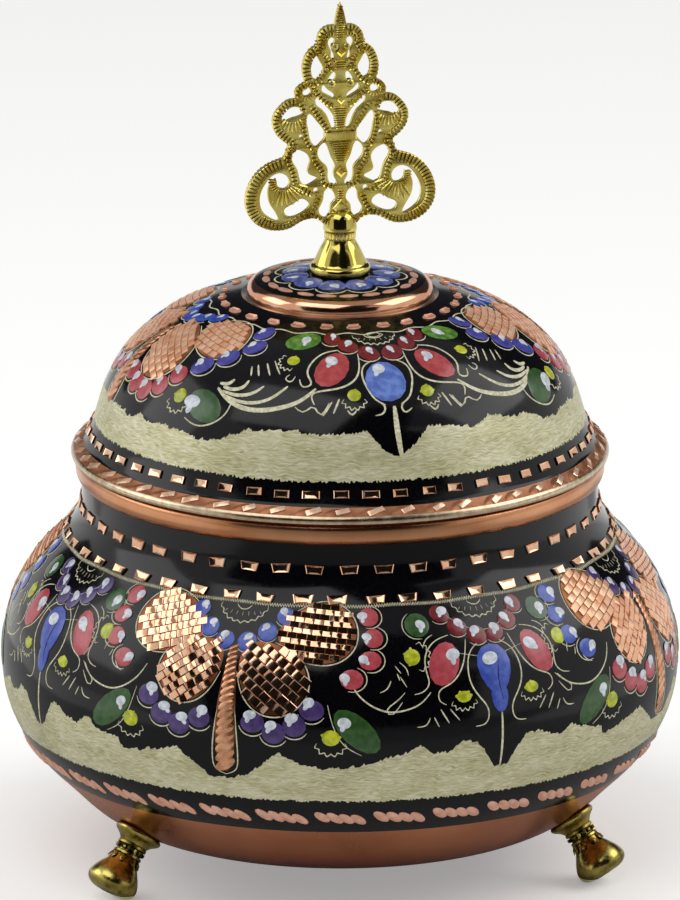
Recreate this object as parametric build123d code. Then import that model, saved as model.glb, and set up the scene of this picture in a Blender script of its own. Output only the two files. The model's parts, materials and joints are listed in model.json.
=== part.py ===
"""Footed copper sugar bowl with a domed lid and a pierced brass finial.

Millimetres, +Z up.  The origin is on the bowl's axis, on the table that the three feet stand on.
The front of the bowl faces -Y, and one foot stands at the back on +Y.
"""
from build123d import *
import math
import os

# Driving sizes of the bowl
bowl_wall = 1.0
base_radius = 33.0
base_height = 7.8
belly_radius = 60.0
belly_rise = 29.7
neck_rise = 29.3
collar_radius = 46.2
collar_step = 0.5
collar_gap = 3.1
collar_width = 4.5
rim_flare = 0.5

# Driving sizes of the lid
lid_wall = 1.0
flange_overhang = 0.4
flange_edge = 0.8
flange_slope_width = 1.8
flange_slope_height = 1.1
dome_rise = 28.4
boss_radius = 16.8
bead_width = 2.6
platform_rise = 1.4
bead_height = 2.3
seat_radius = 5.8
lid_turn = 8.0

# Locating ring inside the lid
ring_wall = 0.8
ring_depth = 3.8
ring_clearance = 0.4

# Feet
foot_count = 3
foot_seat_radius = 44.3
foot_pad_radius = 4.2
foot_waist_radius = 2.1
foot_bulb_radius = 4.4
foot_sole_radius = 3.2
foot_flat_depth = 0.3

# Screws that hold the feet from inside the bowl
screw_radius = 1.25
screw_reach = 6.0
screw_head_radius = 2.5
screw_head_height = 1.3
screw_bed_gap = 0.2
screw_clearance = 0.1
tapped_clearance = 0.02

# Finial: turned socket, pierced plate and the stud that holds them on the lid
socket_foot_radius = 5.3
socket_neck_radius = 2.75
socket_ball_radius = 3.3
socket_cone_height = 7.4
socket_ball_height = 3.8
plate_thickness = 1.4
plate_height = 37.5
plate_half_width = 17.15
tang_depth = 3.0
tang_half_width = 2.5
slot_clearance = 0.05
stud_radius = 1.5
stud_depth = 5.5
stud_hole_clearance = 0.2
washer_radius = 4.8
washer_thickness = 0.8
nut_across_flats = 5.5
nut_height = 2.4
stud_tail = 0.9

# Heights and radii that follow from the sizes above
belly_height = base_height + belly_rise
neck_height = belly_height + neck_rise
collar_height = neck_height + collar_gap
rim_height = collar_height + collar_width
neck_radius = collar_radius - collar_step
rim_radius = collar_radius + rim_flare
flange_radius = rim_radius + flange_overhang
platform_radius = boss_radius - bead_width
lid_top = rim_height + dome_rise
platform_top = lid_top + bead_height + platform_rise
socket_neck_height = platform_top + socket_cone_height
ball_top = socket_neck_height + socket_ball_height
tang_bottom = ball_top - tang_depth
plate_spread = plate_half_width / 17.15
plate_stretch = plate_height / 37.5
mouth_radius = collar_radius - bowl_wall
ring_radius = mouth_radius - ring_clearance


def turned(edges):
    """A solid of revolution about the Z axis from the edges of a closed half section drawn in X and Z."""
    return revolve(Plane.XZ * make_face(edges), Axis.Z)


def chain(*points):
    """Straight edges through the points, in order."""
    return Polyline(*points).edges()


def inside_curve(curve, wall, count=14):
    """A curve that runs one wall thickness to the left of the given one."""
    points = []
    for step in range(count + 1):
        place = curve.position_at(step / count)
        along = curve.tangent_at(step / count)
        points.append((place.X - along.Y * wall, place.Y + along.X * wall))
    return Spline(*points)


def bowl_flank():
    """Outer flank of the bowl, from the flat base up to the narrow neck."""
    rise = belly_height - base_height
    shoulder = neck_height - belly_height
    swell = belly_radius - neck_radius
    spread = belly_radius - base_radius
    return Spline(
        (base_radius, base_height),
        (base_radius + 0.41 * spread, base_height + 0.115 * rise),
        (base_radius + 0.607 * spread, base_height + 0.28 * rise),
        (base_radius + 0.79 * spread, base_height + 0.447 * rise),
        (belly_radius, belly_height),
        (belly_radius - 0.165 * swell, belly_height + 0.36 * shoulder),
        (belly_radius - 0.53 * swell, belly_height + 0.63 * shoulder),
        (belly_radius - 0.80 * swell, belly_height + 0.77 * shoulder),
        (belly_radius - 0.96 * swell, belly_height + 0.90 * shoulder),
        (neck_radius, neck_height),
        tangents=[(1, 0), (0, 1)],
    )


def bowl_outside():
    """The bowl's outer form as a solid block."""
    flank = bowl_flank()
    collar = chain(
        (neck_radius, neck_height),
        (neck_radius, collar_height - 0.3),
        (collar_radius, collar_height),
        (rim_radius, rim_height),
        (0, rim_height),
        (0, base_height),
        (base_radius, base_height),
    )
    return turned(flank.edges() + collar)


def bowl_inside():
    """The space inside the bowl, up through its mouth."""
    wall_line = inside_curve(bowl_flank(), bowl_wall)
    start = wall_line.position_at(0)
    end = wall_line.position_at(1)
    above = rim_height + 1
    rest = chain(
        (end.X, end.Y),
        (end.X, collar_height - 0.6),
        (mouth_radius, collar_height),
        (mouth_radius, above),
        (0, above),
        (0, start.Y),
        (start.X, start.Y),
    )
    return turned(wall_line.edges() + rest)


def foot_seat():
    """Height of the bowl's underside where a foot's axis meets it, and its slope there in degrees."""
    flank = bowl_flank()
    low, high = 0.0, 0.5
    for _ in range(40):
        middle = (low + high) / 2
        if flank.position_at(middle).X < foot_seat_radius:
            low = middle
        else:
            high = middle
    along = flank.tangent_at(low)
    return flank.position_at(low).Y, math.degrees(math.atan2(along.Y, along.X))


def foot_length():
    """Length of a foot that stands square on the bowl, so that its sole's inner edge is filed flat."""
    height, slope = foot_seat()
    lean = math.radians(slope)
    return (height + foot_flat_depth - foot_sole_radius * math.sin(lean)) / math.cos(lean)


def foot_place():
    """Place of the back foot: its own +Z runs down its axis, from its seat on the bowl to its sole."""
    height, slope = foot_seat()
    return Rot(0, 0, 90) * Location((foot_seat_radius, 0, height), (0, 180 - slope, 0))


def around(index):
    """The turn about the bowl's axis from the back foot to another one."""
    return Rot(0, 0, index * 360 / foot_count)


def foot(bowl_block):
    """Turned brass foot at the back: pad against the bowl, waist, bulb, and a small flat where it stands."""
    length = foot_length()
    outline = Spline(
        (foot_pad_radius - 0.6, 1.7),
        (foot_waist_radius, 0.36 * length),
        (0.93 * foot_bulb_radius, 0.66 * length),
        (foot_bulb_radius, 0.78 * length),
        (0.5 * (foot_bulb_radius + foot_sole_radius), 0.955 * length),
        (foot_sole_radius, length),
        tangents=[(-1, 0.6), (-1, 0.2)],
    )
    pad = chain(
        (foot_sole_radius, length),
        (0, length),
        (0, -2),
        (foot_pad_radius, -2),
        (foot_pad_radius, 0.6),
        (foot_pad_radius - 0.6, 1.7),
    )
    body = foot_place() * turned(outline.edges() + pad)
    bore = Cylinder(screw_radius + tapped_clearance, 2 * (screw_reach + 1))
    floor = Box(400, 400, 20, align=(Align.CENTER, Align.CENTER, Align.MAX))
    return body - bowl_block - foot_place() * bore - floor


def foot_screw():
    """Screw of the back foot, from inside: a domed head whose rim beds on the wall, and a shank in the foot."""
    head_base = -bowl_wall - screw_bed_gap
    edge_top = head_base - 0.2 * screw_head_height
    head_top = head_base - screw_head_height
    dome = TangentArc((0, head_top), (screw_head_radius, edge_top), tangent=(1, 0))
    rest = chain(
        (0, head_top),
        (0, screw_reach),
        (screw_radius, screw_reach),
        (screw_radius, head_base),
        (screw_head_radius, head_base),
        (screw_head_radius, edge_top),
    )
    return foot_place() * turned(dome.edges() + rest)


def bowl_shell(bowl_block):
    """The bowl itself, spun from one sheet, with three holes for the feet's screws."""
    shell = bowl_block - bowl_inside()
    for index in range(foot_count):
        shell -= around(index) * foot_place() * Cylinder(screw_radius + screw_clearance, 6 * bowl_wall)
    return shell


def dome_curve():
    """Outer curve of the lid, from the top of its flange in to the groove round the boss."""
    start_radius = flange_radius - flange_slope_width
    start_height = rim_height + flange_edge + flange_slope_height
    rise = lid_top - start_height
    span = start_radius - boss_radius
    return Spline(
        (start_radius, start_height),
        (start_radius - 0.065 * span, start_height + 0.15 * rise),
        (start_radius - 0.13 * span, start_height + 0.37 * rise),
        (start_radius - 0.25 * span, start_height + 0.59 * rise),
        (start_radius - 0.50 * span, start_height + 0.82 * rise),
        (start_radius - 0.80 * span, start_height + 0.955 * rise),
        (boss_radius + 0.6, lid_top),
    )


def lid_shell():
    """Domed lid spun from one sheet: turned-out flange, dome, polished bead and the platform for the finial."""
    dome = dome_curve()
    under = inside_curve(dome, lid_wall)
    under_start = under.position_at(0)
    under_end = under.position_at(1)
    bead = ThreePointArc(
        (boss_radius, lid_top - 0.2),
        (0.4 * boss_radius + 0.6 * platform_radius + 0.7, lid_top + 0.72 * bead_height),
        (platform_radius, lid_top + bead_height),
    )
    under_platform = platform_top - lid_wall
    outside = chain(
        (ring_radius - ring_wall, rim_height),
        (flange_radius, rim_height),
        (flange_radius, rim_height + flange_edge),
        (flange_radius - flange_slope_width, rim_height + flange_edge + flange_slope_height),
    )
    groove = chain((boss_radius + 0.6, lid_top), (boss_radius, lid_top - 0.2))
    top = chain(
        (platform_radius, lid_top + bead_height),
        (seat_radius, platform_top),
        (0, platform_top),
        (0, under_platform),
        (seat_radius, under_platform),
        (platform_radius - 0.6 * lid_wall, lid_top + bead_height - lid_wall),
        (boss_radius - lid_wall, lid_top - 0.2),
        (under_end.X, under_end.Y),
    )
    close = chain((under_start.X, under_start.Y), (ring_radius - ring_wall, rim_height))
    shell = turned(outside + dome.edges() + groove + bead.edges() + top + under.edges() + close)
    hole = Pos(0, 0, platform_top) * Cylinder(stud_radius + stud_hole_clearance, 4 * lid_wall)
    return shell - hole


def lid_ring():
    """Strip soldered under the flange, which drops into the bowl's mouth and keeps the lid central."""
    ring = Cylinder(ring_radius, ring_depth) - Cylinder(ring_radius - ring_wall, 2 * ring_depth)
    return Pos(0, 0, rim_height - ring_depth / 2) * ring


def finial_socket():
    """Turned brass cone with a ball on top, tapped from below for the stud and slotted for the plate."""
    cone = Spline(
        (socket_foot_radius - 0.35, platform_top + 1.3),
        (0.4 * socket_foot_radius + 0.6 * socket_neck_radius, platform_top + 0.58 * socket_cone_height),
        (socket_neck_radius, socket_neck_height),
        tangents=[(-0.5, 1), (-0.1, 1)],
    )
    ball = Spline(
        (socket_neck_radius, socket_neck_height),
        (socket_ball_radius, socket_neck_height + 0.52 * socket_ball_height),
        (0, ball_top),
        tangents=[(1, 0.8), (-1, 0)],
    )
    foot_edge = chain(
        (0, ball_top),
        (0, platform_top),
        (socket_foot_radius, platform_top),
        (socket_foot_radius, platform_top + 0.8),
        (socket_foot_radius - 0.35, platform_top + 1.3),
    )
    body = turned(cone.edges() + ball.edges() + foot_edge)
    bore = Pos(0, 0, platform_top) * Cylinder(stud_radius + tapped_clearance, 2 * (stud_depth + 0.3))
    slot_height = ball_top - tang_bottom + 2
    slot = Box(20, plate_thickness + 2 * slot_clearance, slot_height)
    slot = Rot(0, 0, lid_turn) * Pos(0, 0, tang_bottom + slot_height / 2) * slot
    return body - bore - slot


def lobe(across, up, radius):
    """A round lobe on each side of the finial plate, across from its middle and up from the top of the ball."""
    x = across * plate_spread
    y = up * plate_stretch
    return Pos(x, y) * Circle(radius * plate_spread) + Pos(-x, y) * Circle(radius * plate_spread)


def both_sides(*points):
    """A polygon and its mirror image on the other side of the finial plate."""
    placed = [(across * plate_spread, up * plate_stretch) for across, up in points]
    shape = make_face(Polyline(*placed, close=True).edges())
    return shape + mirror(shape, about=Plane.YZ)


def plate_outline():
    """The finial plate's silhouette: a stepped body under a spear point, with a round lobe at each tier."""
    outline = both_sides(
        (0, 37.5), (1.2, 34.3), (1.4, 32.9), (3.6, 30.5), (5.2, 24.4), (7.9, 21.2), (9.0, 14.4),
        (10.4, 10.2), (6.4, 1.0), (2.5, -0.9), (0, -0.9),
    )
    for across, up, radius in [(11.2, 4.6, 5.95), (8.9, 17.4, 3.55), (6.3, 22.5, 1.85), (4.4, 26.6, 2.45),
                               (2.35, 31.3, 1.75)]:
        outline += lobe(across, up, radius)
    return outline


def plate_openings():
    """The holes of the finial plate, from the big scrolls at the foot up to the teardrops under the spear."""
    scroll_crescent = both_sides(
        (12.6, 8.4), (15.0, 5.6), (15.2, 3.0), (13.6, 0.9), (12.0, 0.6), (12.6, 2.6), (14.0, 4.4), (13.8, 6.4)
    )
    scroll_wedge = both_sides((7.0, 1.9), (9.6, 4.0), (10.6, 2.2), (9.0, 1.3))
    leg_gap = both_sides((1.7, 5.2), (2.5, 5.0), (4.0, 1.7), (2.9, 0.3), (1.4, 1.2))
    urn_gap = both_sides((1.2, 6.6), (1.1, 8.8), (2.2, 13.0), (3.9, 11.2), (3.2, 9.6))
    side_gap = both_sides((7.9, 12.3), (9.2, 9.4), (6.8, 6.4), (4.5, 7.6), (5.6, 9.6), (5.1, 11.2))
    waist_gap = both_sides((5.8, 18.4), (5.6, 15.0), (4.7, 13.4), (3.1, 15.1))
    crescent = both_sides((7.0, 18.3), (8.2, 19.8), (10.2, 19.5), (11.3, 17.6), (9.8, 18.2), (8.4, 17.9))
    long_slot = both_sides((4.5, 21.2), (3.8, 21.4), (1.6, 15.3), (2.2, 15.2))
    short_slot = both_sides((3.7, 24.0), (3.0, 24.2), (1.3, 21.2), (1.8, 20.6))
    shoulder_drop = both_sides((4.2, 28.8), (5.2, 28.4), (5.4, 26.4), (4.5, 25.1), (3.7, 26.2))
    top_drop = both_sides((1.2, 31.8), (2.1, 31.8), (1.8, 28.8), (1.5, 28.8))
    round_holes = lobe(10.8, 6.1, 1.25) + lobe(4.65, 4.9, 0.6) + lobe(6.2, 22.5, 0.95)
    return [
        scroll_crescent, scroll_wedge, leg_gap, urn_gap, side_gap, waist_gap, crescent,
        long_slot, short_slot, shoulder_drop, top_drop, round_holes,
    ]


def finial_plate():
    """Pierced brass plate with a tang that fills the socket's slot."""
    plate = plate_outline()
    tang_top = -0.8 * plate_stretch
    plate += Pos(0, (tang_top - tang_depth) / 2) * Rectangle(2 * tang_half_width, tang_depth + tang_top)
    for opening in plate_openings():
        plate -= opening
    body = extrude(Plane.XZ * plate, plate_thickness / 2, both=True)
    return Rot(0, 0, lid_turn) * Pos(0, 0, ball_top) * body


def finial_stud():
    """Stud that screws up into the socket and takes the nut under the lid."""
    bottom = platform_top - lid_wall - washer_thickness - nut_height - stud_tail
    length = platform_top + stud_depth - bottom
    return Pos(0, 0, bottom + length / 2) * Cylinder(stud_radius, length)


def finial_washer():
    """Flat washer under the lid's platform."""
    ring = Cylinder(washer_radius, washer_thickness) - Cylinder(stud_radius + stud_hole_clearance, 4)
    return Pos(0, 0, platform_top - lid_wall - washer_thickness / 2) * ring


def finial_nut():
    """Hexagon nut that pulls the finial down on the lid."""
    corner_radius = nut_across_flats / math.sqrt(3)
    hexagon = extrude(RegularPolygon(corner_radius, 6), nut_height)
    bore = Cylinder(stud_radius + tapped_clearance, 4 * nut_height)
    return Pos(0, 0, platform_top - lid_wall - washer_thickness - nut_height) * (hexagon - bore)


def main():
    """Builds every piece and writes one STEP file for each."""
    os.makedirs("parts", exist_ok=True)
    block = bowl_outside()
    pieces = {
        "bowl_shell": bowl_shell(block),
        "lid_shell": lid_shell(),
        "lid_ring": lid_ring(),
        "finial_socket": finial_socket(),
        "finial_plate": finial_plate(),
        "finial_stud": finial_stud(),
        "finial_washer": finial_washer(),
        "finial_nut": finial_nut(),
    }
    one_foot = foot(block)
    one_screw = foot_screw()
    for index, side in enumerate(["back", "front_left", "front_right"]):
        pieces[side + "_foot"] = around(index) * one_foot
        pieces[side + "_foot_screw"] = around(index) * one_screw
    for name, piece in pieces.items():
        export_step(piece, "parts/" + name + ".step")


main()
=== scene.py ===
"""Looks of a covered copper sugar bowl.

Lacquered, engraved and painted walls, a pierced brass finial plate on a turned socket, and cast brass feet.
"""

import json
import logging
import math
import random
from collections.abc import Callable, Iterator, Sequence
from contextlib import contextmanager
from dataclasses import dataclass, field
from enum import Enum
from functools import cached_property

import bmesh
import bpy
import numpy as np
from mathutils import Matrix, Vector

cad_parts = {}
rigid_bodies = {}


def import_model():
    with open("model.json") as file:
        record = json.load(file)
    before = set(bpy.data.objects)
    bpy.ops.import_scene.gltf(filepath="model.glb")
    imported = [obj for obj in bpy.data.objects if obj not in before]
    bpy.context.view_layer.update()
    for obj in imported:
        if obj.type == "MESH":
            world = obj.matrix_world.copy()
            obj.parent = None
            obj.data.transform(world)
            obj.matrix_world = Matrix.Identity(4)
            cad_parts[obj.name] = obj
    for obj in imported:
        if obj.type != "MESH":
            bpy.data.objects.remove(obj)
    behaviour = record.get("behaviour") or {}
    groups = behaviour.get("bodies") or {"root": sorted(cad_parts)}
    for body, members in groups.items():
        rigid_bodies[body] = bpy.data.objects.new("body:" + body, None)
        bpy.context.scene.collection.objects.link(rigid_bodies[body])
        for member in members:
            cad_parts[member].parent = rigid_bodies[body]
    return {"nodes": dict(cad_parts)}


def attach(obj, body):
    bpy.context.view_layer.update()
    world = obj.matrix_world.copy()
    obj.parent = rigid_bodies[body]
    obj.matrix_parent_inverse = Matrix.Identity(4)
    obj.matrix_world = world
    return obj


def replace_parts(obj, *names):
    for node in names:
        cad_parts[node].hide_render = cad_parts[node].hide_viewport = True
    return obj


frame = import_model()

log = logging.getLogger("sugar_bowl")
MM = 0.001
Point = tuple[float, float]
Line = Sequence[Point]
Triple = tuple[float, float, float]
Table = tuple[tuple, ...]
Faces = tuple[tuple[int, ...], ...]
Zone = Callable[[float, float], bool]
Tree = bpy.types.NodeTree
Socket = bpy.types.NodeSocket
Piece = bpy.types.Object


def rgb(code: str) -> tuple[float, ...]:
    """Turns an sRGB hex colour to linear.

    Args:
        code: Six hex digits.

    Returns:
        Red, green, blue and an alpha of 1.
    """
    parts = [int(code[i : i + 2], 16) / 255 for i in (0, 2, 4)]
    return (*(p / 12.92 if p <= 0.04045 else ((p + 0.055) / 1.055) ** 2.4 for p in parts), 1.0)


def per_metre(size: float) -> float:
    """Scale of a pattern on Object coordinates whose features are `size` mm apart."""
    return 1 / (size * MM)


def swing(degrees: float) -> Point:
    """Cosine and sine of an angle in degrees."""
    return math.cos(math.radians(degrees)), math.sin(math.radians(degrees))


def add_node(tree: Tree, kind: str, inputs: dict, stops: Sequence = (), **settings: object) -> bpy.types.Node:
    """Adds a shader node.

    Args:
        tree: Node tree it goes into.
        kind: Blender's name of the node type, without the ShaderNode before it.
        inputs: Value, socket or node for each input; a node gives its first output.
        stops: Place and hex colour of each stop of a colour ramp.
        settings: Properties of the node.

    Returns:
        The node.
    """
    made = tree.nodes.new("ShaderNode" + kind)
    for name, value in settings.items():
        setattr(made, name, value)
    for name, value in inputs.items():
        if isinstance(value, bpy.types.Node):
            value = value.outputs[0]
        if isinstance(value, Socket):
            tree.links.new(value, made.inputs[name])
        else:
            made.inputs[name].default_value = value
    for _ in stops[2:]:
        made.color_ramp.elements.new(0.5)
    for number, (place, code) in enumerate(stops):
        stripe = made.color_ramp.elements[number]
        stripe.position, stripe.color = place, rgb(code)
    return made


def emptied(made: bpy.types.Material | bpy.types.World) -> Tree:
    """Clears the nodes of a new material or world.

    Args:
        made: The material or world.

    Returns:
        Its empty node tree.
    """
    made.use_nodes = True
    made.node_tree.nodes.clear()
    return made.node_tree


@dataclass(frozen=True)
class Finish:
    """A finish that is made once and shared by the pieces that have it."""

    name: str

    def material(self) -> bpy.types.Material:
        """Makes the material at its first use.

        Returns:
            The material.
        """
        made = bpy.data.materials.get(self.name)
        if not made:
            made = bpy.data.materials.new(self.name)
            tree = emptied(made)
            shader = add_node(tree, "BsdfPrincipled", self.sockets(tree, self.where(tree)))
            add_node(tree, "OutputMaterial", {"Surface": shader})
        return made

    def where(self, tree: Tree) -> Socket:
        """Object coordinates, which most finishes follow."""
        return add_node(tree, "TexCoord", {}).outputs["Object"]

    def sockets(self, tree: Tree, where: Socket) -> dict[str, object]:
        """Says what the shader's sockets hold; each finish has its own.

        Args:
            tree: Node tree of the material.
            where: Coordinates that the finish follows.

        Returns:
            A value, socket or node for each of the shader's sockets that isn't left alone.
        """
        raise NotImplementedError


# Inputs 1 and 2 of a Map Range node: a noise keeps near 0.5, so these are its low and its high.
MIDDLE = {1: 0.3, 2: 0.7}


@dataclass(frozen=True)
class BlackLacquer(Finish):
    """Black lacquer brushed on copper and polished: deep black, with faint waves of the sheet under it."""

    colours: tuple[str, str] = ("040305", "0B0A0E")
    gloss: float = 0.26
    roughness: float = 0.09
    wave: float = 9.0
    wave_depth: float = 0.05
    mote: float = 0.5
    mote_depth: float = 0.002

    def sockets(self, tree: Tree, where: Socket) -> dict[str, object]:
        """Black gloss with slow waves and a little dust.

        Args:
            tree: Node tree of the material.
            where: Object coordinates.

        Returns:
            The shader's sockets.
        """
        waves = add_node(tree, "TexNoise", {"Vector": where, "Scale": per_metre(self.wave), "Detail": 1.0})
        motes = add_node(tree, "TexNoise", {"Vector": where, "Scale": per_metre(self.mote), "Detail": 4.0})
        slow = add_node(tree, "Bump", {"Height": waves, "Distance": self.wave_depth * MM})
        dull, depth = 1.8 * self.roughness, self.mote_depth * MM
        return {
            "Base Color": add_node(tree, "ValToRGB", {0: motes}, [*zip((0.35, 0.8), self.colours)]),
            "Roughness": add_node(tree, "MapRange", {0: motes, **MIDDLE, 3: self.roughness, 4: dull}),
            "Normal": add_node(tree, "Bump", {"Height": motes, "Distance": depth, "Normal": slow}),
            "IOR": 1.5,
            "Specular IOR Level": self.gloss,
        }


@dataclass(frozen=True)
class Metal(Finish):
    """Bare metal, with the rings or scratches that its making left and clouds of slight tarnish."""

    colours: tuple[str, str]
    roughness: Point
    cloud: float
    stretch: Triple
    line: float
    line_depth: float
    metallic: float = 1.0

    def sockets(self, tree: Tree, where: Socket) -> dict[str, object]:
        """Metal with clouds in its colour and gloss, and fine lines in its relief.

        Args:
            tree: Node tree of the material.
            where: Object coordinates.

        Returns:
            The shader's sockets.
        """
        clouds = add_node(tree, "TexNoise", {"Vector": where, "Scale": per_metre(self.cloud), "Detail": 4.0})
        along = add_node(tree, "Mapping", {"Vector": where, "Scale": self.stretch})
        lines = add_node(tree, "TexNoise", {"Vector": along, "Scale": per_metre(self.line), "Detail": 2.0})
        low, high = self.roughness
        return {
            "Base Color": add_node(tree, "ValToRGB", {0: clouds}, [*zip((0.3, 0.7), self.colours)]),
            "Roughness": add_node(tree, "MapRange", {0: clouds, **MIDDLE, 3: low, 4: high}),
            "Normal": add_node(tree, "Bump", {"Height": lines, "Distance": self.line_depth * MM}),
            "Metallic": self.metallic,
        }


@dataclass(frozen=True)
class ShadedUnderCopper(Metal):
    """Bare copper under the bowl: warm brown near the lacquer, with painted shade that darkens it towards the
    base.
    """

    deep: Point = (6.0, 18.0)
    dark: str = "9C563A"

    def sockets(self, tree: Tree, where: Socket) -> dict[str, object]:
        """Spun copper with painted shade, darker towards the base.

        Args:
            tree: Node tree of the material.
            where: Object coordinates.

        Returns:
            The shader's sockets.
        """
        held = super().sockets(tree, where)
        # Painted shade: the colour turns to the dark shade as the height falls towards the base.
        height = add_node(tree, "SeparateXYZ", {0: where}).outputs["Z"]
        low, high = self.deep
        share = add_node(tree, "MapRange", {0: height, 1: low * MM, 2: high * MM})
        shade_mix = {"Factor": share, 6: rgb(self.dark), 7: held["Base Color"]}
        return held | {"Base Color": add_node(tree, "Mix", shade_mix, data_type="RGBA").outputs[2]}


@dataclass(frozen=True)
class OilPaint(Finish):
    """Thick oil paint dabbed on the lacquer: glossy, in two close shades that the brush left in streaks."""

    colours: tuple[str, str]
    roughness: float = 0.16
    streak: float = 1.2
    bristle: float = 0.35
    bristle_depth: float = 0.012

    def sockets(self, tree: Tree, where: Socket) -> dict[str, object]:
        """Gloss paint with streaks of two shades.

        Args:
            tree: Node tree of the material.
            where: Object coordinates.

        Returns:
            The shader's sockets.
        """
        streaks, bristles = (
            add_node(tree, "TexNoise", {"Vector": where, "Scale": per_metre(size), "Detail": 2.0})
            for size in (self.streak, self.bristle)
        )
        dull = 1.6 * self.roughness
        return {
            "Base Color": add_node(tree, "ValToRGB", {0: streaks}, [*zip((0.36, 0.64), self.colours)]),
            "Roughness": add_node(tree, "MapRange", {0: bristles, **MIDDLE, 3: self.roughness, 4: dull}),
            "Normal": add_node(tree, "Bump", {"Height": bristles, "Distance": self.bristle_depth * MM}),
        }


@dataclass(frozen=True)
class CombedCream(Finish):
    """Tinned copper scratched with short strokes along the wall: a pale greenish cream, silky and matt."""

    colours: tuple[str, str, str] = ("9E9A6C", "C9C59C", "E2DEC4")
    stroke: Point = (1.7, 0.24)
    stroke_depth: float = 0.025
    bend: float = 1.8

    def where(self, tree: Tree) -> Socket:
        """The wall's own map, in mm."""
        return add_node(tree, "UVMap", {}, uv_map="wall").outputs[0]

    def sockets(self, tree: Tree, where: Socket) -> dict[str, object]:
        """Strokes that run along the wall, drawn a little coarser than the real ones so that they show.

        Args:
            tree: Node tree of the material.
            where: The wall's own map.

        Returns:
            The shader's sockets.
        """
        long, wide = self.stroke
        stretches = ((0.3, 0.35, 1), (0.1, 0.25, 1), (1 / long, 1 / wide, 1))
        slow, broad, fine = (add_node(tree, "Mapping", {"Vector": where, "Scale": s}) for s in stretches)
        drift = add_node(tree, "TexNoise", {"Vector": slow, "Scale": 1.0, "Detail": 2.0})
        clouds = add_node(tree, "TexNoise", {"Vector": broad, "Scale": 1.0, "Detail": 4.0})
        bend = add_node(tree, "MapRange", {0: drift, **MIDDLE, 3: -self.bend, 4: self.bend})
        upwards = add_node(tree, "CombineXYZ", {1: bend})
        bent = add_node(tree, "VectorMath", {0: fine, 1: upwards}, operation="ADD")
        strokes = add_node(tree, "TexNoise", {"Vector": bent, "Scale": 1.0, "Detail": 4.0, "Distortion": 0.6})
        worn = add_node(tree, "Mix", {0: 0.35, 2: strokes, 3: clouds}, data_type="FLOAT")
        return {
            "Base Color": add_node(tree, "ValToRGB", {0: worn}, [*zip((0.34, 0.5, 0.63), self.colours)]),
            "Normal": add_node(tree, "Bump", {"Height": strokes, "Distance": self.stroke_depth * MM}),
            "Roughness": 0.42,
            "Metallic": 0.25,
        }


@dataclass(frozen=True)
class CastBrass(Finish):
    """Cast brass rubbed bright on its ribs, with painted shade and patina that darken its hollows to olive.
    """

    colours: tuple[str, str] = ("D6B93C", "FAEA86")
    hollow: str = "7A5C16"
    reach: float = 0.5
    roughness: Point = (0.2, 0.32)
    grain: float = 0.5
    grain_depth: float = 0.01
    patch: float = 3.0
    metallic: float = 0.85

    def sockets(self, tree: Tree, where: Socket) -> dict[str, object]:
        """Bright metal with painted shade and patina where it is closed in.

        Args:
            tree: Node tree of the material.
            where: Object coordinates.

        Returns:
            The shader's sockets.
        """
        grain, patches = (
            add_node(tree, "TexNoise", {"Vector": where, "Scale": per_metre(size), "Detail": 3.0})
            for size in (self.grain, self.patch)
        )
        bright = add_node(tree, "ValToRGB", {0: patches}, [*zip((0.3, 0.62), self.colours)])
        # Painted shade: ambient occlusion darkens the colour to the hollow's where the metal is closed in.
        occlusion_shade = add_node(tree, "AmbientOcclusion", {"Distance": self.reach * MM}, samples=6)
        share = add_node(tree, "ValToRGB", {0: occlusion_shade.outputs["AO"]}, [(0.25, "000000"), (0.7, "FFFFFF")])
        shade_mix = {"Factor": share, 6: rgb(self.hollow), 7: bright}
        low, high = self.roughness
        return {
            "Base Color": add_node(tree, "Mix", shade_mix, data_type="RGBA").outputs[2],
            "Roughness": add_node(tree, "MapRange", {0: grain, **MIDDLE, 3: low, 4: high}),
            "Normal": add_node(tree, "Bump", {"Height": grain, "Distance": self.grain_depth * MM}),
            "Metallic": self.metallic,
        }


# Stretch of a metal's lines: spun rings run round the axis, and scratches run every way.
RINGS: Triple = (0.02, 0.02, 1)
EVEN: Triple = (1, 1, 1)

LACQUER = BlackLacquer("black_lacquer")
# Spun and rubbed down: a satin band with faint rings.
SPUN_COPPER = Metal("spun_satin_copper", ("B4764F", "D29A72"), (0.2, 0.3), 14.0, RINGS, 0.5, 0.02)
# Copper under the bowl, with painted shade that darkens it towards the base.
UNDER_COPPER = ShadedUnderCopper("spun_copper_with_painted_shade", ("CC7C4E", "E89C6C"), (0.24, 0.34), 18, RINGS, 0.3, 0.004)
# Buffed to a mirror: the brightest ring of the lid.
BEAD_COPPER = Metal("polished_copper", ("DA9A76", "EEB896"), (0.1, 0.16), 6.0, (0.05, 0.05, 1), 0.3, 0.001)
# Molten tin wiped on with a cloth: pale grey, soft and a little cloudy.
TIN = Metal("wiped_tin", ("B9B7AE", "D4D2C8"), (0.28, 0.42), 6.0, (0.1, 0.1, 1), 0.5, 0.006)
# Turned and buffed: a clear yellow mirror.
BRASS = Metal("polished_brass", ("B2A046", "D8CA74"), (0.08, 0.14), 5.0, EVEN, 0.8, 0.003)
# Zinc on turned steel: light grey with a dull gleam.
STEEL = Metal("zinc_plated_steel", ("A9ABAE", "C8CACC"), (0.22, 0.32), 2.0, EVEN, 0.3, 0.002)
CAST_BRASS = CastBrass("cast_brass")
# Cast and never cleaned: worn golden high spots, with painted shade and patina that turn the hollows brown.
AGED_BRASS = CastBrass(
    "aged_cast_brass", ("6A5A24", "CCBC66"), "2A1E0C", 1.4, (0.16, 0.34), 0.7, 0.03, 2.6, 1
)
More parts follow.
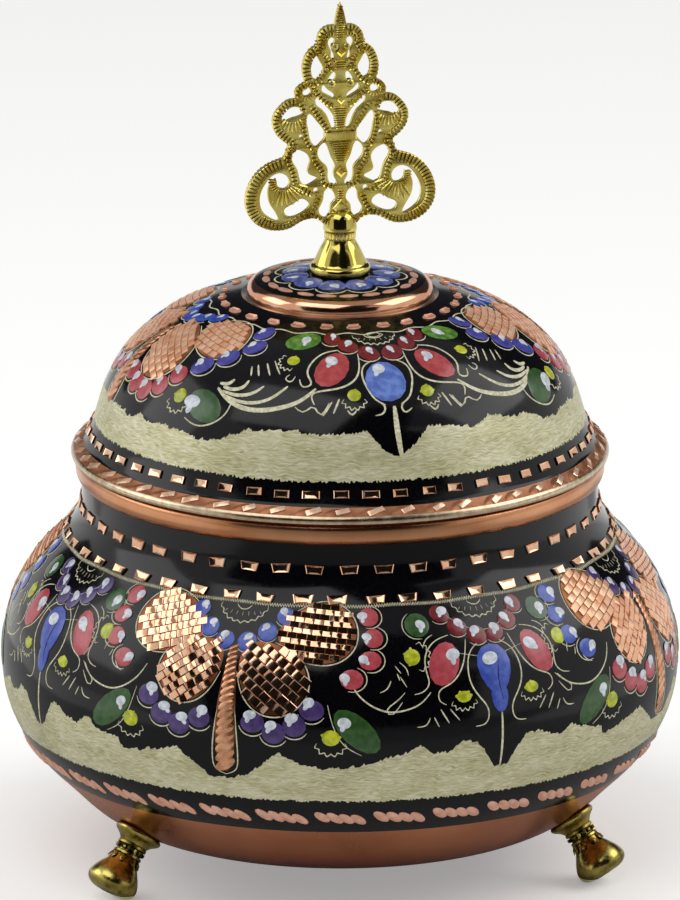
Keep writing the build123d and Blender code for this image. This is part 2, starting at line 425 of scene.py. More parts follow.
# Painted shade: a near-black, dull dab that stands for the dark inside each knob's hole.
KNOB_HOLE_SHADE = OilPaint("painted_shade_in_the_knobs", ("1C1406", "2E220C"), 0.5)
# One clean stroke of a polished graver: each cut flashes like a facet.
CUT_COPPER = Metal("graver_cut_copper", ("E4A880", "F4CCAC"), (0.08, 0.14), 1.5, EVEN, 0.3, 0.002)
# Cuts of a dull graver, with lacquer left in them: pale and satin, and bright at every angle.
SCALE_COPPER = Metal("satin_cut_copper", ("F0A87C", "FFD2AE"), (0.24, 0.36), 2.5, EVEN, 0.3, 0.004, 0.42)
STEM_COPPER = Metal("twisted_copper_stem", ("BC7A54", "F0B890"), (0.2, 0.32), 1.6, EVEN, 0.3, 0.004, 0.8)
# The ground under the cuts, stems and rope marks: brown copper that shows as painted shade in the gaps and
# creases between them.
CHASED_COPPER = Metal("chased_copper_with_crease_shade", ("6E3E28", "A06848"), (0.34, 0.44), 2.5, EVEN, 0.3, 0.006)
RIM_COPPER = Metal("chased_rim_copper", ("8A5438", "BC8058"), (0.34, 0.44), 2.5, EVEN, 0.3, 0.006, 0.6)
RIM_CUTS = Metal("bright_rim_copper", ("F0B890", "FFE0C4"), (0.16, 0.26), 1.5, EVEN, 0.3, 0.002, 0.6)
# Rolled and cut marks, rubbed by hands: pinkish satin.
ROPE_COPPER = Metal("rope_cut_copper", ("DC9C80", "F6C4AC"), (0.32, 0.44), 1.5, EVEN, 0.3, 0.004, 0.45)
# Tin worn through at the very edge: patches of grey and of copper.
LIP = Metal("worn_tinned_copper_edge", ("B49878", "D6C6AA"), (0.2, 0.3), 1.2, (1, 1, 6), 0.3, 0.004)
CREAM = CombedCream("combed_tinned_cream")
# A scratched line of the same tin: duller and more broken than paint.
LINE_CREAM = OilPaint("scratched_cream_line", ("B9B48E", "E2DEC2"), 0.35, 0.6)
# The painter's last thin touch of bluish white, which reads as the shine of a berry.
GLINT_WHITE = OilPaint("pale_glint_paint", ("B4BCC6", "E0E4EA"), 0.2, 1.0)
# Dabs of thick oil colour, each glossy and a little uneven in its shade.
BLUE = OilPaint("blue_paint", ("3047A0", "465CB6"))
PETAL_BLUE = OilPaint("grey_blue_paint", ("424E94", "6C78B4"))
SKY_BLUE = OilPaint("sky_blue_paint", ("4C66B2", "6C88D0"))
NAVY = OilPaint("dark_blue_paint", ("141A4A", "1E2666"))
INDIGO = OilPaint("indigo_paint", ("3E3E90", "5050A4"))
PURPLE = OilPaint("purple_paint", ("3E2E5E", "4E3C76"))
ROSE = OilPaint("rose_paint", ("A43E46", "B84C54"))
SCARLET = OilPaint("scarlet_paint", ("A2363A", "B64A4A"))
DARK_RED = OilPaint("dark_red_paint", ("661318", "7C1C22"))
GREEN = OilPaint("green_paint", ("26481E", "345C28"))
LEAF_GREEN = OilPaint("leaf_green_paint", ("3F6A22", "6A9A38"))
YELLOW = OilPaint("yellow_green_paint", ("96A01A", "C8CE2A"))


def alone(obj: Piece) -> None:
    """Makes one object the only selected and active one.

    Args:
        obj: The object.
    """
    if bpy.context.object and bpy.context.object.mode != "OBJECT":
        bpy.ops.object.mode_set(mode="OBJECT")
    bpy.ops.object.select_all(action="DESELECT")
    obj.select_set(True)
    bpy.context.view_layer.objects.active = obj


@contextmanager
def editing(obj: Piece) -> Iterator[bmesh.types.BMesh]:
    """Edit mode on one object, with nothing selected at its start.

    Args:
        obj: The object to edit.

    Yields:
        Its edit mesh, to select faces and edges in by their place.
    """
    alone(obj)
    bpy.ops.object.mode_set(mode="EDIT")
    bpy.ops.mesh.select_all(action="DESELECT")
    yield bmesh.from_edit_mesh(obj.data)
    bpy.ops.object.mode_set(mode="OBJECT")


def select_all() -> None:
    """Selects the whole of the mesh that is being edited."""
    bpy.ops.mesh.select_all(action="SELECT")


def extrude(by: Sequence[float]) -> None:
    """Extrudes what is selected and moves it."""
    bpy.ops.mesh.extrude_region_move(TRANSFORM_OT_translate={"value": by})


def seal(piece: Piece, gap: float = 0.01) -> None:
    """Closes the seams of a piece and points its faces outwards.

    Args:
        piece: The piece.
        gap: Points nearer than this are merged, in mm.
    """
    with editing(piece):
        select_all()
        bpy.ops.mesh.remove_doubles(threshold=gap * MM)
        bpy.ops.mesh.normals_make_consistent(inside=False)


def smooth(piece: Piece, degrees: float) -> None:
    """Shades a piece smooth up to an angle between its faces."""
    alone(piece)
    bpy.ops.object.shade_smooth_by_angle(angle=math.radians(degrees))


def link_new(data: bpy.types.ID) -> Piece:
    """Puts a mesh, curve, lamp or camera into the scene.

    Args:
        data: What it shows, whose name it takes.

    Returns:
        The object.
    """
    made = bpy.data.objects.new(data.name, data)
    bpy.context.scene.collection.objects.link(made)
    return made


def points_of(piece: Piece) -> np.ndarray:
    """Places of a piece's vertices, as rows."""
    return np.array([v.co for v in piece.data.vertices], float)


def unroll(mesh: bpy.types.Mesh, sheet: np.ndarray) -> None:
    """Gives a mesh the map of the wall in mm that combed cream follows.

    Args:
        mesh: The mesh.
        sheet: Place of each vertex on the sheet.
    """
    if not mesh.uv_layers:
        mesh.uv_layers.new()
    mesh.uv_layers[0].name = "wall"
    corners = np.zeros(len(mesh.loops), int)
    mesh.loops.foreach_get("vertex_index", corners)
    mesh.uv_layers[0].data.foreach_set("uv", sheet[corners, :2].ravel())


def run_of(line: np.ndarray) -> np.ndarray:
    """Distance along a line to each of its points."""
    return np.concatenate([[0], np.cumsum(np.linalg.norm(np.diff(line, axis=0), axis=1))])


def heading(line: np.ndarray) -> np.ndarray:
    """Direction of a line at each of its points, of length 1."""
    along = np.gradient(line, axis=0)
    return along / np.linalg.norm(along, axis=1)[:, None]


def spline(knots: Line, count: int, start: Point | None = None, end: Point | None = None) -> np.ndarray:
    """Smooth cubic curve through points.

    Args:
        knots: Points that it goes through.
        count: Points wanted along it.
        start: Direction at the first point, or None for a free end.
        end: Direction at the last point, or None for a free end.

    Returns:
        The points, evenly spread, as rows of two numbers.
    """
    p = np.array(knots, float)
    u = run_of(p)
    gaps = np.diff(u)
    n = len(p)
    system, right = np.zeros((n, n)), np.zeros((n, 2))
    for i in range(1, n - 1):
        a, b = gaps[i - 1], gaps[i]
        system[i, i - 1 : i + 2] = b, 2 * (a + b), a
        right[i] = 3 * (b * (p[i] - p[i - 1]) / a + a * (p[i + 1] - p[i]) / b)
    for row, inner, gap, given in ((0, 1, gaps[0], start), (n - 1, n - 2, gaps[-1], end)):
        if given:
            system[row, row], right[row] = 1, np.array(given) / np.hypot(*given)
        else:
            chord = (p[max(row, inner)] - p[min(row, inner)]) / gap
            system[row, row], system[row, inner], right[row] = 2, 1, 3 * chord
    slopes = np.linalg.solve(system, right)
    fine = np.linspace(0, u[-1], 40 * n)
    k = np.clip(np.searchsorted(u, fine, "right") - 1, 0, n - 2)
    h = gaps[k][:, None]
    s = ((fine - u[k]) / gaps[k])[:, None]
    path = (1 + 2 * s) * (1 - s) ** 2 * p[k] + s * (1 - s) ** 2 * h * slopes[k]
    path += s**2 * (3 - 2 * s) * p[k + 1] - s**2 * (1 - s) * h * slopes[k + 1]
    run = run_of(path)
    even = np.linspace(0, run[-1], count)
    return np.stack([np.interp(even, run, path[:, i]) for i in (0, 1)], 1)


def offset(line: np.ndarray, distance: float) -> np.ndarray:
    """Moves a profile sideways; positive is to the right of its run, which is outwards for a wall."""
    return line + distance * (heading(line) @ ((0, -1), (1, 0)))


def apart(line: np.ndarray, r: float, z: float) -> float:
    """Distance from a place to the nearest point of a profile, in mm."""
    return float(np.hypot(line[:, 0] - r, line[:, 1] - z).min())


def both(knots: Line, side: int) -> list[Point]:
    """Mirrors a line for one side of a motif."""
    return [(side * x, y) for x, y in knots]


@dataclass(frozen=True)
class Wall:
    """A turned wall seen as a flat sheet in mm: x runs round it, y up it and z out of it."""

    line: np.ndarray
    reach: float

    def place(self, sheet: np.ndarray, azimuth: float) -> np.ndarray:
        """Wraps points of the sheet round the wall.

        Args:
            sheet: Rows of x, y and z on the sheet.
            azimuth: Where x is 0, in degrees from the front towards the right.

        Returns:
            Points in metres in the frame.
        """
        profile = (*self.line.T, *heading(self.line).T)
        radius, height, across, up = (np.interp(sheet[:, 1], run_of(self.line), v) for v in profile)
        radius += up * sheet[:, 2]
        height -= across * sheet[:, 2]
        angle = math.radians(azimuth) + sheet[:, 0] / self.reach
        return np.stack([radius * np.sin(angle), -radius * np.cos(angle), height], 1) * MM

    def run_at(self, height: float) -> float:
        """How far up the sheet, in mm, the wall first reaches a height above the floor."""
        return float(np.interp(height, self.line[:, 1], run_of(self.line)))


@dataclass(frozen=True)
class Slab:
    """Both faces of a flat upright plate seen as sheets in mm: x runs across, y up and z out of it."""

    turned: float
    half: float
    reach: float = 1.0

    def place(self, sheet: np.ndarray, azimuth: float) -> np.ndarray:
        """Lays points of the sheet on a face.

        Args:
            sheet: Rows of x, y and z on the sheet.
            azimuth: 0 for the front face and 180 for the back one, in degrees.

        Returns:
            Points in metres in the frame.
        """
        c, s = swing(self.turned + azimuth)
        out = self.half + sheet[:, 2]
        return np.stack([c * sheet[:, 0] + s * out, s * sheet[:, 0] - c * out, sheet[:, 1]], 1) * MM


def turn(name: str, profile: Sequence, finishes: Sequence[tuple[Zone, Finish]], steps: int = 180) -> Piece:
    """Spins a closed profile about the bowl's axis.

    Args:
        name: Name of the piece.
        profile: Points and rows of points, each of a radius and a height in mm, in order round the section.
        finishes: A test of a face's radius and height in mm, and the finish it gives; the first counts.
        steps: Faces round the axis.

    Returns:
        The turned piece, with its place in its mesh.
    """
    points = [Vector((r * MM, 0, z * MM)) for r, z in np.vstack(profile)]
    bpy.ops.mesh.primitive_plane_add(size=MM, location=(0, 0, 0))
    piece = bpy.context.object
    piece.name = piece.data.name = name
    with editing(piece):
        select_all()
        bpy.ops.mesh.merge(type="CENTER")
        bpy.ops.transform.translate(value=points[0])
        for here, there in zip(points, points[1:]):
            extrude(there - here)
        select_all()
        bpy.ops.mesh.spin(steps=steps, angle=math.tau, center=(0, 0, 0), axis=(0, 0, 1))
    seal(piece)
    for _, finish in finishes:
        piece.data.materials.append(finish.material())
    for face in piece.data.polygons:
        r, z = math.hypot(face.center.x, face.center.y) / MM, face.center.z / MM
        face.material_index = next(i for i, (test, _) in enumerate(finishes) if test(r, z))
    smooth(piece, 35)
    return piece


@dataclass(frozen=True)
class Mark:
    """One modelled mark of the ornament, of unit size, that is copied many times."""

    points: np.ndarray
    faces: Faces

    @classmethod
    def taken(cls, piece: Piece) -> "Mark":
        """Takes the shape of a modelled object and removes the object.

        Args:
            piece: The modelled mark.

        Returns:
            The mark.
        """
        seal(piece)
        mark = cls(points_of(piece), tuple(tuple(f.vertices) for f in piece.data.polygons))
        bpy.data.meshes.remove(piece.data)
        return mark


def model_dot(sides: int) -> Mark:
    """A dab of thick paint: round, with a soft shoulder and a low crown.

    Args:
        sides: Corners of its outline.

    Returns:
        The mark, of radius 1 and height 1.
    """
    bpy.ops.mesh.primitive_circle_add(vertices=sides, radius=1, fill_type="NGON", location=(0, 0, 0))
    piece = bpy.context.object
    with editing(piece):
        select_all()
        extrude((0, 0, 0.9))
        bpy.ops.mesh.inset(thickness=0.16, depth=0.32)
        bpy.ops.mesh.inset(thickness=0.34, depth=0.18)
        select_all()
        bpy.ops.transform.translate(value=(0, 0, -0.4))
    return Mark.taken(piece)


def model_strip(cuts: int) -> Mark:
    """A stroke of the brush or graver, along x from 0 to 1, with a ridge along its middle.

    Args:
        cuts: Faces along it.

    Returns:
        The mark, 2 wide and 1 high.
    """
    bpy.ops.mesh.primitive_grid_add(x_subdivisions=cuts, y_subdivisions=2, size=2, location=(0, 0, 0))
    piece = bpy.context.object
    with editing(piece) as mesh:
        select_all()
        extrude((0, 0, 1))
        bpy.ops.mesh.select_all(action="DESELECT")
        for vertex in mesh.verts:
            vertex.select = vertex.co.z > 0.5 and abs(vertex.co.y) < 0.1
        mesh.select_flush(True)
        bpy.ops.transform.translate(value=(0, 0, 0.7))
        select_all()
        bpy.ops.transform.resize(value=(0.5, 1, 1), center_override=(0, 0, 0))
        bpy.ops.transform.translate(value=(0.5, 0, -0.7))
    return Mark.taken(piece)


def model_cut(hollow: bool) -> Mark:
    """A short cut of the graver, from a block whose top face is worked.

    Args:
        hollow: Whether it is a shallow tray with four bright sides, instead of a facet that slopes one way.

    Returns:
        The mark, from -1 to 1 both ways and 1 high.
    """
    bpy.ops.mesh.primitive_cube_add(size=2, location=(0, 0, -0.5))
    piece = bpy.context.object
    with editing(piece) as mesh:
        for face in mesh.faces:
            face.select = face.normal.z > 0.9
        if hollow:
            bpy.ops.mesh.inset(thickness=0.1, depth=0.5)
            bpy.ops.mesh.inset(thickness=0.32, depth=-0.75)
            bpy.ops.transform.resize(value=(0.75, 1, 1), center_override=(0, 0, 0))
        else:
            bpy.ops.mesh.inset(thickness=0.12, depth=0.0)
            for vertex in mesh.verts:
                vertex.select = vertex.select and vertex.co.y > 0
            mesh.select_flush(True)
            bpy.ops.transform.translate(value=(0, 0, 0.5))
    return Mark.taken(piece)


def model_lobe() -> Mark:
    """One lobe of a rope mark: a long leaf with a crest along it.

    Returns:
        The mark, from -1 to 1 both ways and 1 high.
    """
    bpy.ops.mesh.primitive_circle_add(vertices=12, radius=1, fill_type="NGON", location=(0, 0, 0))
    piece = bpy.context.object
    with editing(piece):
        select_all()
        extrude((0, 0, 0.5))
        bpy.ops.mesh.inset(thickness=0.45, depth=0.5)
        bpy.ops.transform.resize(value=(1.25, 0.25, 1), center_override=(0, 0, 0))
        select_all()
        bpy.ops.transform.translate(value=(0, 0, -0.3))
    return Mark.taken(piece)


class Role(Enum):
    """What a mark is in its motif; each copy of the motif gives the roles their paints."""

    LINE = "line"
    GLINT = "glint"
    ARCH = "arch"
    SIDE = "side"
    DROP = "drop"
    SEAM = "seam"
    LEAF = "leaf"
    BUD = "bud"
    LOW = "low"
    PETAL = "petal"
    FACET = "facet"
    ROPE = "rope"
    STEM = "stem"


# The piece and the finish of each role that are alike on bowl and lid.
Paints = dict[Role, tuple[str, Finish]]
PAINTS: Paints = {
    Role.LINE: ("cream_lines", LINE_CREAM),
    Role.GLINT: ("pale_glints", GLINT_WHITE),
    Role.BUD: ("yellow_buds", YELLOW),
    Role.LEAF: ("green_leaves", GREEN),
    Role.PETAL: ("chased_petals", CHASED_COPPER),
    Role.FACET: ("cut_facets", CUT_COPPER),
    Role.STEM: ("ribbed_stems", STEM_COPPER),
}


class Marks:
    """The modelled marks, each made once."""

    def __init__(self) -> None:
        """Models every kind of mark."""
        self.dot = model_dot(14)
        self.plate = model_dot(36)
        self.strips = {cuts: model_strip(cuts) for cuts in (4, 10, 32)}
        self.facet = model_cut(hollow=False)
        self.scoop = model_cut(hollow=True)
        self.lobe = model_lobe()


@dataclass
class Sheet:
    """Marks laid flat, in mm, before they are wrapped round a wall."""

    marks: Marks
    chance: random.Random
    pen: float = 0.72
    laid: list[tuple[Role, np.ndarray, Faces]] = field(default_factory=list)

    def lay(self, role: Role, mark: Mark, points: np.ndarray, place: Sequence[float], turn: float) -> None:
        """Lays a copy of a mark.

        Args:
            role: What it is in the motif.
            mark: The modelled mark.
            points: Its own points.
            place: Where its middle goes.
            turn: Degrees counter-clockwise.
        """
        c, s = swing(turn)
        self.laid.append((role, points @ ((c, s, 0), (-s, c, 0), (0, 0, 1)) + place, mark.faces))

    def dab(
        self, role: Role, x: float, y: float, wide: float, tall: float, turn: float = 0, high: float = 0.16,
        taper: float = 0.0, base: float = 0.0, mark: Mark | None = None,
    ) -> None:
        """Lays a round mark.

        Args:
            role: What it is in the motif.
            x: Centre across, in mm.
            y: Centre up, in mm.
            wide: Width before it is turned.
            tall: Height before it is turned.
            turn: Degrees counter-clockwise.
            high: Relief in mm.
            taper: How much wider the upper end is than the middle, as a share.
            base: Height of what it lies on.
            mark: The modelled mark, or None for a dab of paint.
        """
        mark = mark or self.marks.dot
        p = mark.points.copy()
        p[:, 0] *= 1 + taper * p[:, 1]
        self.lay(role, mark, p * (wide / 2, tall / 2, high), (x, y, base), turn)

    def berry(
        self, role: Role, x: float, y: float, wide: float, tall: float, turn: float = 0,
        glint: Point = (0, 0.5), shine: float = 0.4, taper: float = 0.0,
    ) -> None:
        """Lays a berry with the pale dab that stands for its shine.

        Args:
            role: What it is in the motif.
            x: Centre across.
            y: Centre up.
            wide: Width.
            tall: Height.
            turn: Degrees counter-clockwise.
            glint: Place of the pale dab, as a share of half the width and height.
            shine: Size of the pale dab, as a share of the smaller side.
            taper: How much wider the upper end is.
        """
        wobble = self.chance.uniform
        sides = wide * wobble(0.94, 1.06), tall * wobble(0.94, 1.06)
        self.dab(role, x, y, *sides, turn + wobble(-6, 6), taper=taper)
        size = shine * min(wide, tall)
        gx, gy = x + glint[0] * wide / 2, y + glint[1] * tall / 2
        sides = size * wobble(1.0, 1.25), size * wobble(0.8, 1.0)
        self.dab(Role.GLINT, gx, gy, *sides, wobble(-40, 40), 0.1, base=0.13)
        tail = wobble(-140, -40)
        c, s = swing(tail)
        end = gx + 0.5 * size * c, gy + 0.5 * size * s
        self.dab(Role.GLINT, *end, 0.6 * size, 0.42 * size, tail, 0.08, base=0.12)

    def stroke(
        self, knots: Line, wide: float = 0.34, teeth: float = 0, depth: float = 0.45,
        role: Role = Role.LINE, high: float = 0.07, ends: float = 0.45,
    ) -> None:
        """Draws a line with the brush or graver.

        Args:
            knots: Points it goes through.
            wide: Width in mm.
            teeth: Zigzags along it.
            depth: Depth of the zigzags in mm.
            role: What it is in the motif.
            high: Relief in mm.
            ends: Width at its ends, as a share.
        """
        path = spline(knots, 65) if len(knots) > 2 else np.linspace(knots[0], knots[1], 65)
        wide *= self.pen if role is Role.LINE else 1
        length = run_of(path)[-1]
        cuts = 32 if teeth or length > 9 else 10 if length > 2.6 or len(knots) > 2 else 4
        mark = self.marks.strips[cuts]
        normal = heading(path) @ ((0, 1), (-1, 0))
        s = np.linspace(0, 1, len(path))
        if teeth:
            saw = 2 * np.abs(2 * (s * teeth % 1) - 1) - 1
            path = path + normal * (depth / 2 * saw)[:, None]
        at, across, up = mark.points.T
        half = across * wide / 2 * (ends + (1 - ends) * np.sin(math.pi * np.clip(at, 0, 1)) ** 0.5)
        x, y = (np.interp(at, s, path[:, i]) + np.interp(at, s, normal[:, i]) * half for i in (0, 1))
        self.lay(role, mark, np.stack([x, y, up * high], 1), (0, 0, 0), 0)

    def arc(
        self, x: float, y: float, across: float, up: float, start: float, end: float, **looks: float
    ) -> None:
        """Draws part of an ellipse.

        Args:
            x: Centre across.
            y: Centre up.
            across: Width of the whole ellipse.
            up: Height of the whole ellipse.
            start: First angle in degrees.
            end: Last angle in degrees.
            looks: Width, teeth and depth, as for a stroke.
        """
        angles = np.radians(np.linspace(start, end, 7))
        self.stroke([(x + across / 2 * math.cos(a), y + up / 2 * math.sin(a)) for a in angles], **looks)

    def petal(
        self, x: float, y: float, long: float, wide: float, turn: float, cell: Point, slant: float = 12,
        tilt: float = 0.35, lean: float = 0.0,
    ) -> None:
        """Lays a copper petal cut all over with rows of bright facets, in a thin cream outline.

        Args:
            x: Centre across.
            y: Centre up.
            long: Length.
            wide: Width.
            turn: Direction of its outer end, in degrees.
            cell: Length and height of a facet's cell.
            slant: Direction of the rows on the sheet, in degrees.
            tilt: How much the facets lean at random.
            lean: How much every second row leans down.
        """
        flare = 0.2
        # The ground under the facets, which shows between them as painted shade.
        self.dab(Role.PETAL, x, y, wide, long, turn - 90, 0.1, flare, mark=self.marks.plate)
        (c, s), (rc, rs) = swing(turn), swing(slant)
        reach = int(long / min(cell)) + 2
        wobble = self.chance.uniform
        for row in range(-reach, reach + 1):
            for column in range(-reach, reach + 1):
                u, v = (column + 0.5 * (row % 2)) * cell[0], row * cell[1]
                px, py = rc * u - rs * v, rs * u + rc * v
                outward, across = c * px + s * py, -s * px + c * py
                limit = 1 + flare * outward / (long / 2)
                if math.hypot(outward / (0.492 * long), across / (0.485 * wide * limit)) > 1:
                    continue
                f = self.marks.facet.points.copy()
                f[:, 2] += wobble(-tilt, tilt) * f[:, 0] + (wobble(-tilt, tilt) + lean * (row % 2)) * f[:, 1]
                f = f * (wobble(0.44, 0.48) * cell[0], 0.45 * cell[1], 0.15)
                self.lay(Role.FACET, self.marks.facet, f, (x + px, y + py, 0.11), slant + wobble(-3, 3))
        edge = []
        for angle in np.linspace(-35, 215, 9):
            ac, sn = swing(angle)
            outward, across = (long / 2 + 0.35) * sn, (wide / 2 + 0.35) * ac * (1 + flare * sn)
            edge.append((x + outward * c + across * s, y + outward * s - across * c))
        self.stroke(edge, 0.34)

    def rosette(self, y: float, wide: float, drop: float) -> None:
        """Draws the scalloped half rosette that hangs from a border.

        Args:
            y: Height of the border.
            wide: Width.
            drop: How far it hangs.
        """
        for share, teeth, width in ((1.0, 9, 0.34), (0.3, 0, 0.3)):
            w, d = share * wide / 2, share * drop * 1.05
            left = [(-w, y - 0.2), (-0.72 * w, y - 0.62 * d)]
            self.stroke([*left, (0, y - d), *both(left[::-1], -1)], width, teeth, 0.6)
        for k in range(-3, 4):
            top, low = y + (0.03 * abs(k) - 0.45) * drop, y + (0.06 * abs(k) - 0.72) * drop
            self.stroke([(0.11 * wide * k, top), (0.125 * wide * k, low)], 0.14)

    def stem(self, top: float, foot: float, narrow: float, wide: float) -> None:
        """Cuts the ribbed copper stem of a palmette, with its cream edge.

        Args:
            top: Height of its upper end.
            foot: Height of its lower end.
            narrow: Width at the top.
            wide: Width near the foot.
        """
        long = top - foot
        sides, flare = ((narrow + wide) / 2 * 1.1, long), (narrow - wide) / (narrow + wide)
        # The base plate under the lobes, which shows between them as painted shade.
        self.dab(Role.PETAL, 0, (top + foot) / 2, *sides, 0, 0.1, flare, mark=self.marks.plate)
        y = top - 0.6
        while y > foot + 1.1:
            share = (top - y) / long
            sides = (narrow + (wide - narrow) * share) * 1.02, 1.0 + share
            lean = 30 + self.chance.uniform(-5, 5)
            self.dab(Role.STEM, 0, y, *sides, lean, 0.4, base=0.02, mark=self.marks.lobe)
            y -= 0.95 + 0.85 * share
        shares = ((0.36, 0.52), (0.5, 0.28), (0.54, 0.12), (0.42, 0.02))
        edge = [*((x * wide, foot + y * long) for x, y in shares), (0, foot - 0.5)]
        for side in (-1, 1):
            self.stroke(both(edge, side), 0.3)

    def bud(self, x: float, y: float, wide: float, tall: float, open_to: float) -> None:
        """Paints a yellow bud in a ragged cream cup.

        Args:
            x: Centre across.
            y: Centre up.
            wide: Width.
            tall: Height.
            open_to: Direction in which the cup is open, in degrees.
        """
        self.dab(Role.BUD, x, y, wide, tall)
        for k in range(5):
            c, n = swing(open_to + 40 * (k - 2) + self.chance.uniform(-14, 14))
            far = self.chance.uniform(0.42, 0.6)
            tip = [(x + share * wide * c, y + share * tall * n) for share in (0.3, far)]
            self.stroke(tip, 0.6, role=Role.BUD, high=0.12)
        c, n = swing(open_to)
        middle, size = (x - 0.25 * wide * c, y - 0.25 * tall * n), (1.75 * wide, 1.75 * tall)
        self.arc(*middle, *size, open_to + 98, open_to + 262, wide=0.34, teeth=6, depth=0.62)

    def around(self, count: int, reach: float, shift: float = 0.0, stray: float = 0.0) -> Iterator[float]:
        """Spreads marks all round a wall.

        Args:
            count: Number of marks.
            reach: Radius that the sheet is as long as, in mm.
            shift: Place of the first one, as a share of a step.
            stray: How far each is off its place at random, as a share of a step.

        Yields:
            The place of each across the sheet.
        """
        for k in range(count):
            off = self.chance.uniform(-stray, stray) if stray else 0.0
            yield math.tau * reach * (k + shift + off) / count


@dataclass(frozen=True)
class Row:
    """A row of alike berries in the right half of a motif, each with a cream line at its edge, in mm.

    A place is x and y, or x, y and its own glint. The span is the cream line's first and last angle.
    """

    role: Role
    places: Table
    size: Point
    turn: float
    glint: Point
    shine: float
    rim: Point
    span: Point
    line: float
    shift: Point = (0, 0)
    mirrored: bool = False

    def draw(self, s: Sheet, side: int) -> None:
        """Lays the row.

        Args:
            s: The sheet.
            side: 1 for the right half and -1 for the left one.
        """
        span = [180 - angle if self.mirrored and side < 0 else angle for angle in self.span]
        for x, y, *own in self.places:
            gx, gy = own or self.glint
            s.berry(self.role, side * x, y, *self.size, self.turn * side, (side * gx, gy), self.shine)
            s.arc(side * (x + self.shift[0]), y + self.shift[1], *self.rim, *span, wide=self.line)


@dataclass
class Ornament:
    """Everything laid on one wall, gathered by paint into one piece for each."""

    body: str
    part: str
    wall: Wall | Slab
    groups: dict[tuple[str, Finish], list] = field(default_factory=dict)

    def add(self, sheet: Sheet, azimuths: Sequence[float], paints: Paints, lift: float = 0) -> None:
        """Wraps copies of a sheet round the wall.

        Args:
            sheet: The marks.
            azimuths: Where each copy's x is 0, in degrees in the object's frame.
            paints: Piece and finish for each role.
            lift: Added to every y, in mm.
        """
        for azimuth in azimuths:
            for role, points, faces in sheet.laid:
                moved = points + (0, lift, 0)
                along = moved[:, :2] + (math.radians(azimuth) * self.wall.reach, 0)
                copies = self.groups.setdefault(paints[role], [])
                copies.append((self.wall.place(moved, azimuth), along, faces))

    def pieces(self) -> list[Piece]:
        """Makes one piece of each paint.

        Returns:
            The pieces, not yet on a body.
        """
        made = []
        for (name, finish), copies in self.groups.items():
            places, along, faces = zip(*copies)
            starts = np.cumsum([0, *map(len, places)])
            joined = [[i + start for i in face] for own, start in zip(faces, starts) for face in own]
            mesh = bpy.data.meshes.new(f"{self.part}_{name}")
            mesh.from_pydata(np.concatenate(places), [], joined)
            unroll(mesh, np.concatenate(along))
            mesh.materials.append(finish.material())
            made.append(link_new(mesh))
            smooth(made[-1], 32)
        return made

    def build(self) -> None:
        """Makes the pieces and puts them on their body."""
        for piece in self.pieces():
            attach(piece, self.body)


@dataclass
class Bowl:
    """The bowl's lacquered copper wall, tinned inside; sizes in mm."""

    body: str = "bowl"
    wall: float = 1.0
    base: float = 7.8
    belly: float = 60.0
    neck: float = 45.7
    rim: float = 46.7
    rim_height: float = 74.4
    mouth: float = 45.2
    collar: float = 69.9
    lacquer_foot: float = 20.0
    edge_round: float = 0.25

    def flank(self, count: int) -> np.ndarray:
        """Outer flank from the flat base up to the neck.

        Args:
            count: Points along it.

        Returns:
            Rows of radius and height.
        """
        knots = [(33, self.base), (44.07, 11.22), (49.39, 16.12), (54.33, 21.08), (self.belly, 37.5)]
        knots += [(57.64, 48.05), (52.42, 55.96), (48.56, 60.06), (46.27, 63.87), (self.neck, 66.8)]
        return spline(knots, count, (1, 0), (0, 1))

    @cached_property
    def line(self) -> np.ndarray:
        """The flank that the wall is spun from."""
        return self.flank(90)

    def painted(self) -> Wall:
        """The wall that the ornament is wrapped round."""
        return Wall(np.vstack([self.flank(400), (self.neck, self.collar - 0.3)]), 58.0)

    def build(self) -> None:
        """Spins the wall."""
        top, r, rim, mouth, collar = self.rim_height, self.edge_round, self.rim, self.mouth, self.collar
        bulge = [(rim - 0.5, collar), (rim - 0.1, collar + 0.7), (rim + 0.05, collar + 1.8)]
        bulge += [(rim - 0.15, top - 1.4), (rim - 0.7, top - 0.85)]
        edge = [(mouth + 0.5, top - 0.8), (mouth + 0.5, top), (mouth + r, top), (mouth, top - r)]
        throat = [(mouth, collar), (self.neck - self.wall, collar - 0.6)]
        outer = [(0, self.base), self.line, (self.neck, collar - 0.3), spline(bulge, 16)]
        inner = [throat, offset(self.line, -self.wall)[::-1], (0, self.base + self.wall)]
        zones = [
            (lambda r, z: z > collar - 0.2 and r > mouth + 0.1, SPUN_COPPER),
            (lambda r, z: z < self.lacquer_foot and self.outside(r, z), UNDER_COPPER),
            (self.outside, LACQUER),
            (lambda r, z: True, TIN),
        ]
        piece = turn("bowl_wall", [*outer, edge, *inner], zones)
        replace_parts(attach(piece, self.body), "bowl_shell")

    def outside(self, r: float, z: float) -> bool:
        """Whether a place is nearer the outer face of the wall than the inner one.

        Args:
            r: Radius in mm.
            z: Height in mm.

        Returns:
            True for the outer face.
        """
        if z > self.collar - 4:
            return r > self.mouth + (0.3 if z > self.collar else -0.1)
        return apart(self.line, r, z) < 0.5 * self.wall or (r < 34 and z < self.base + 0.5)


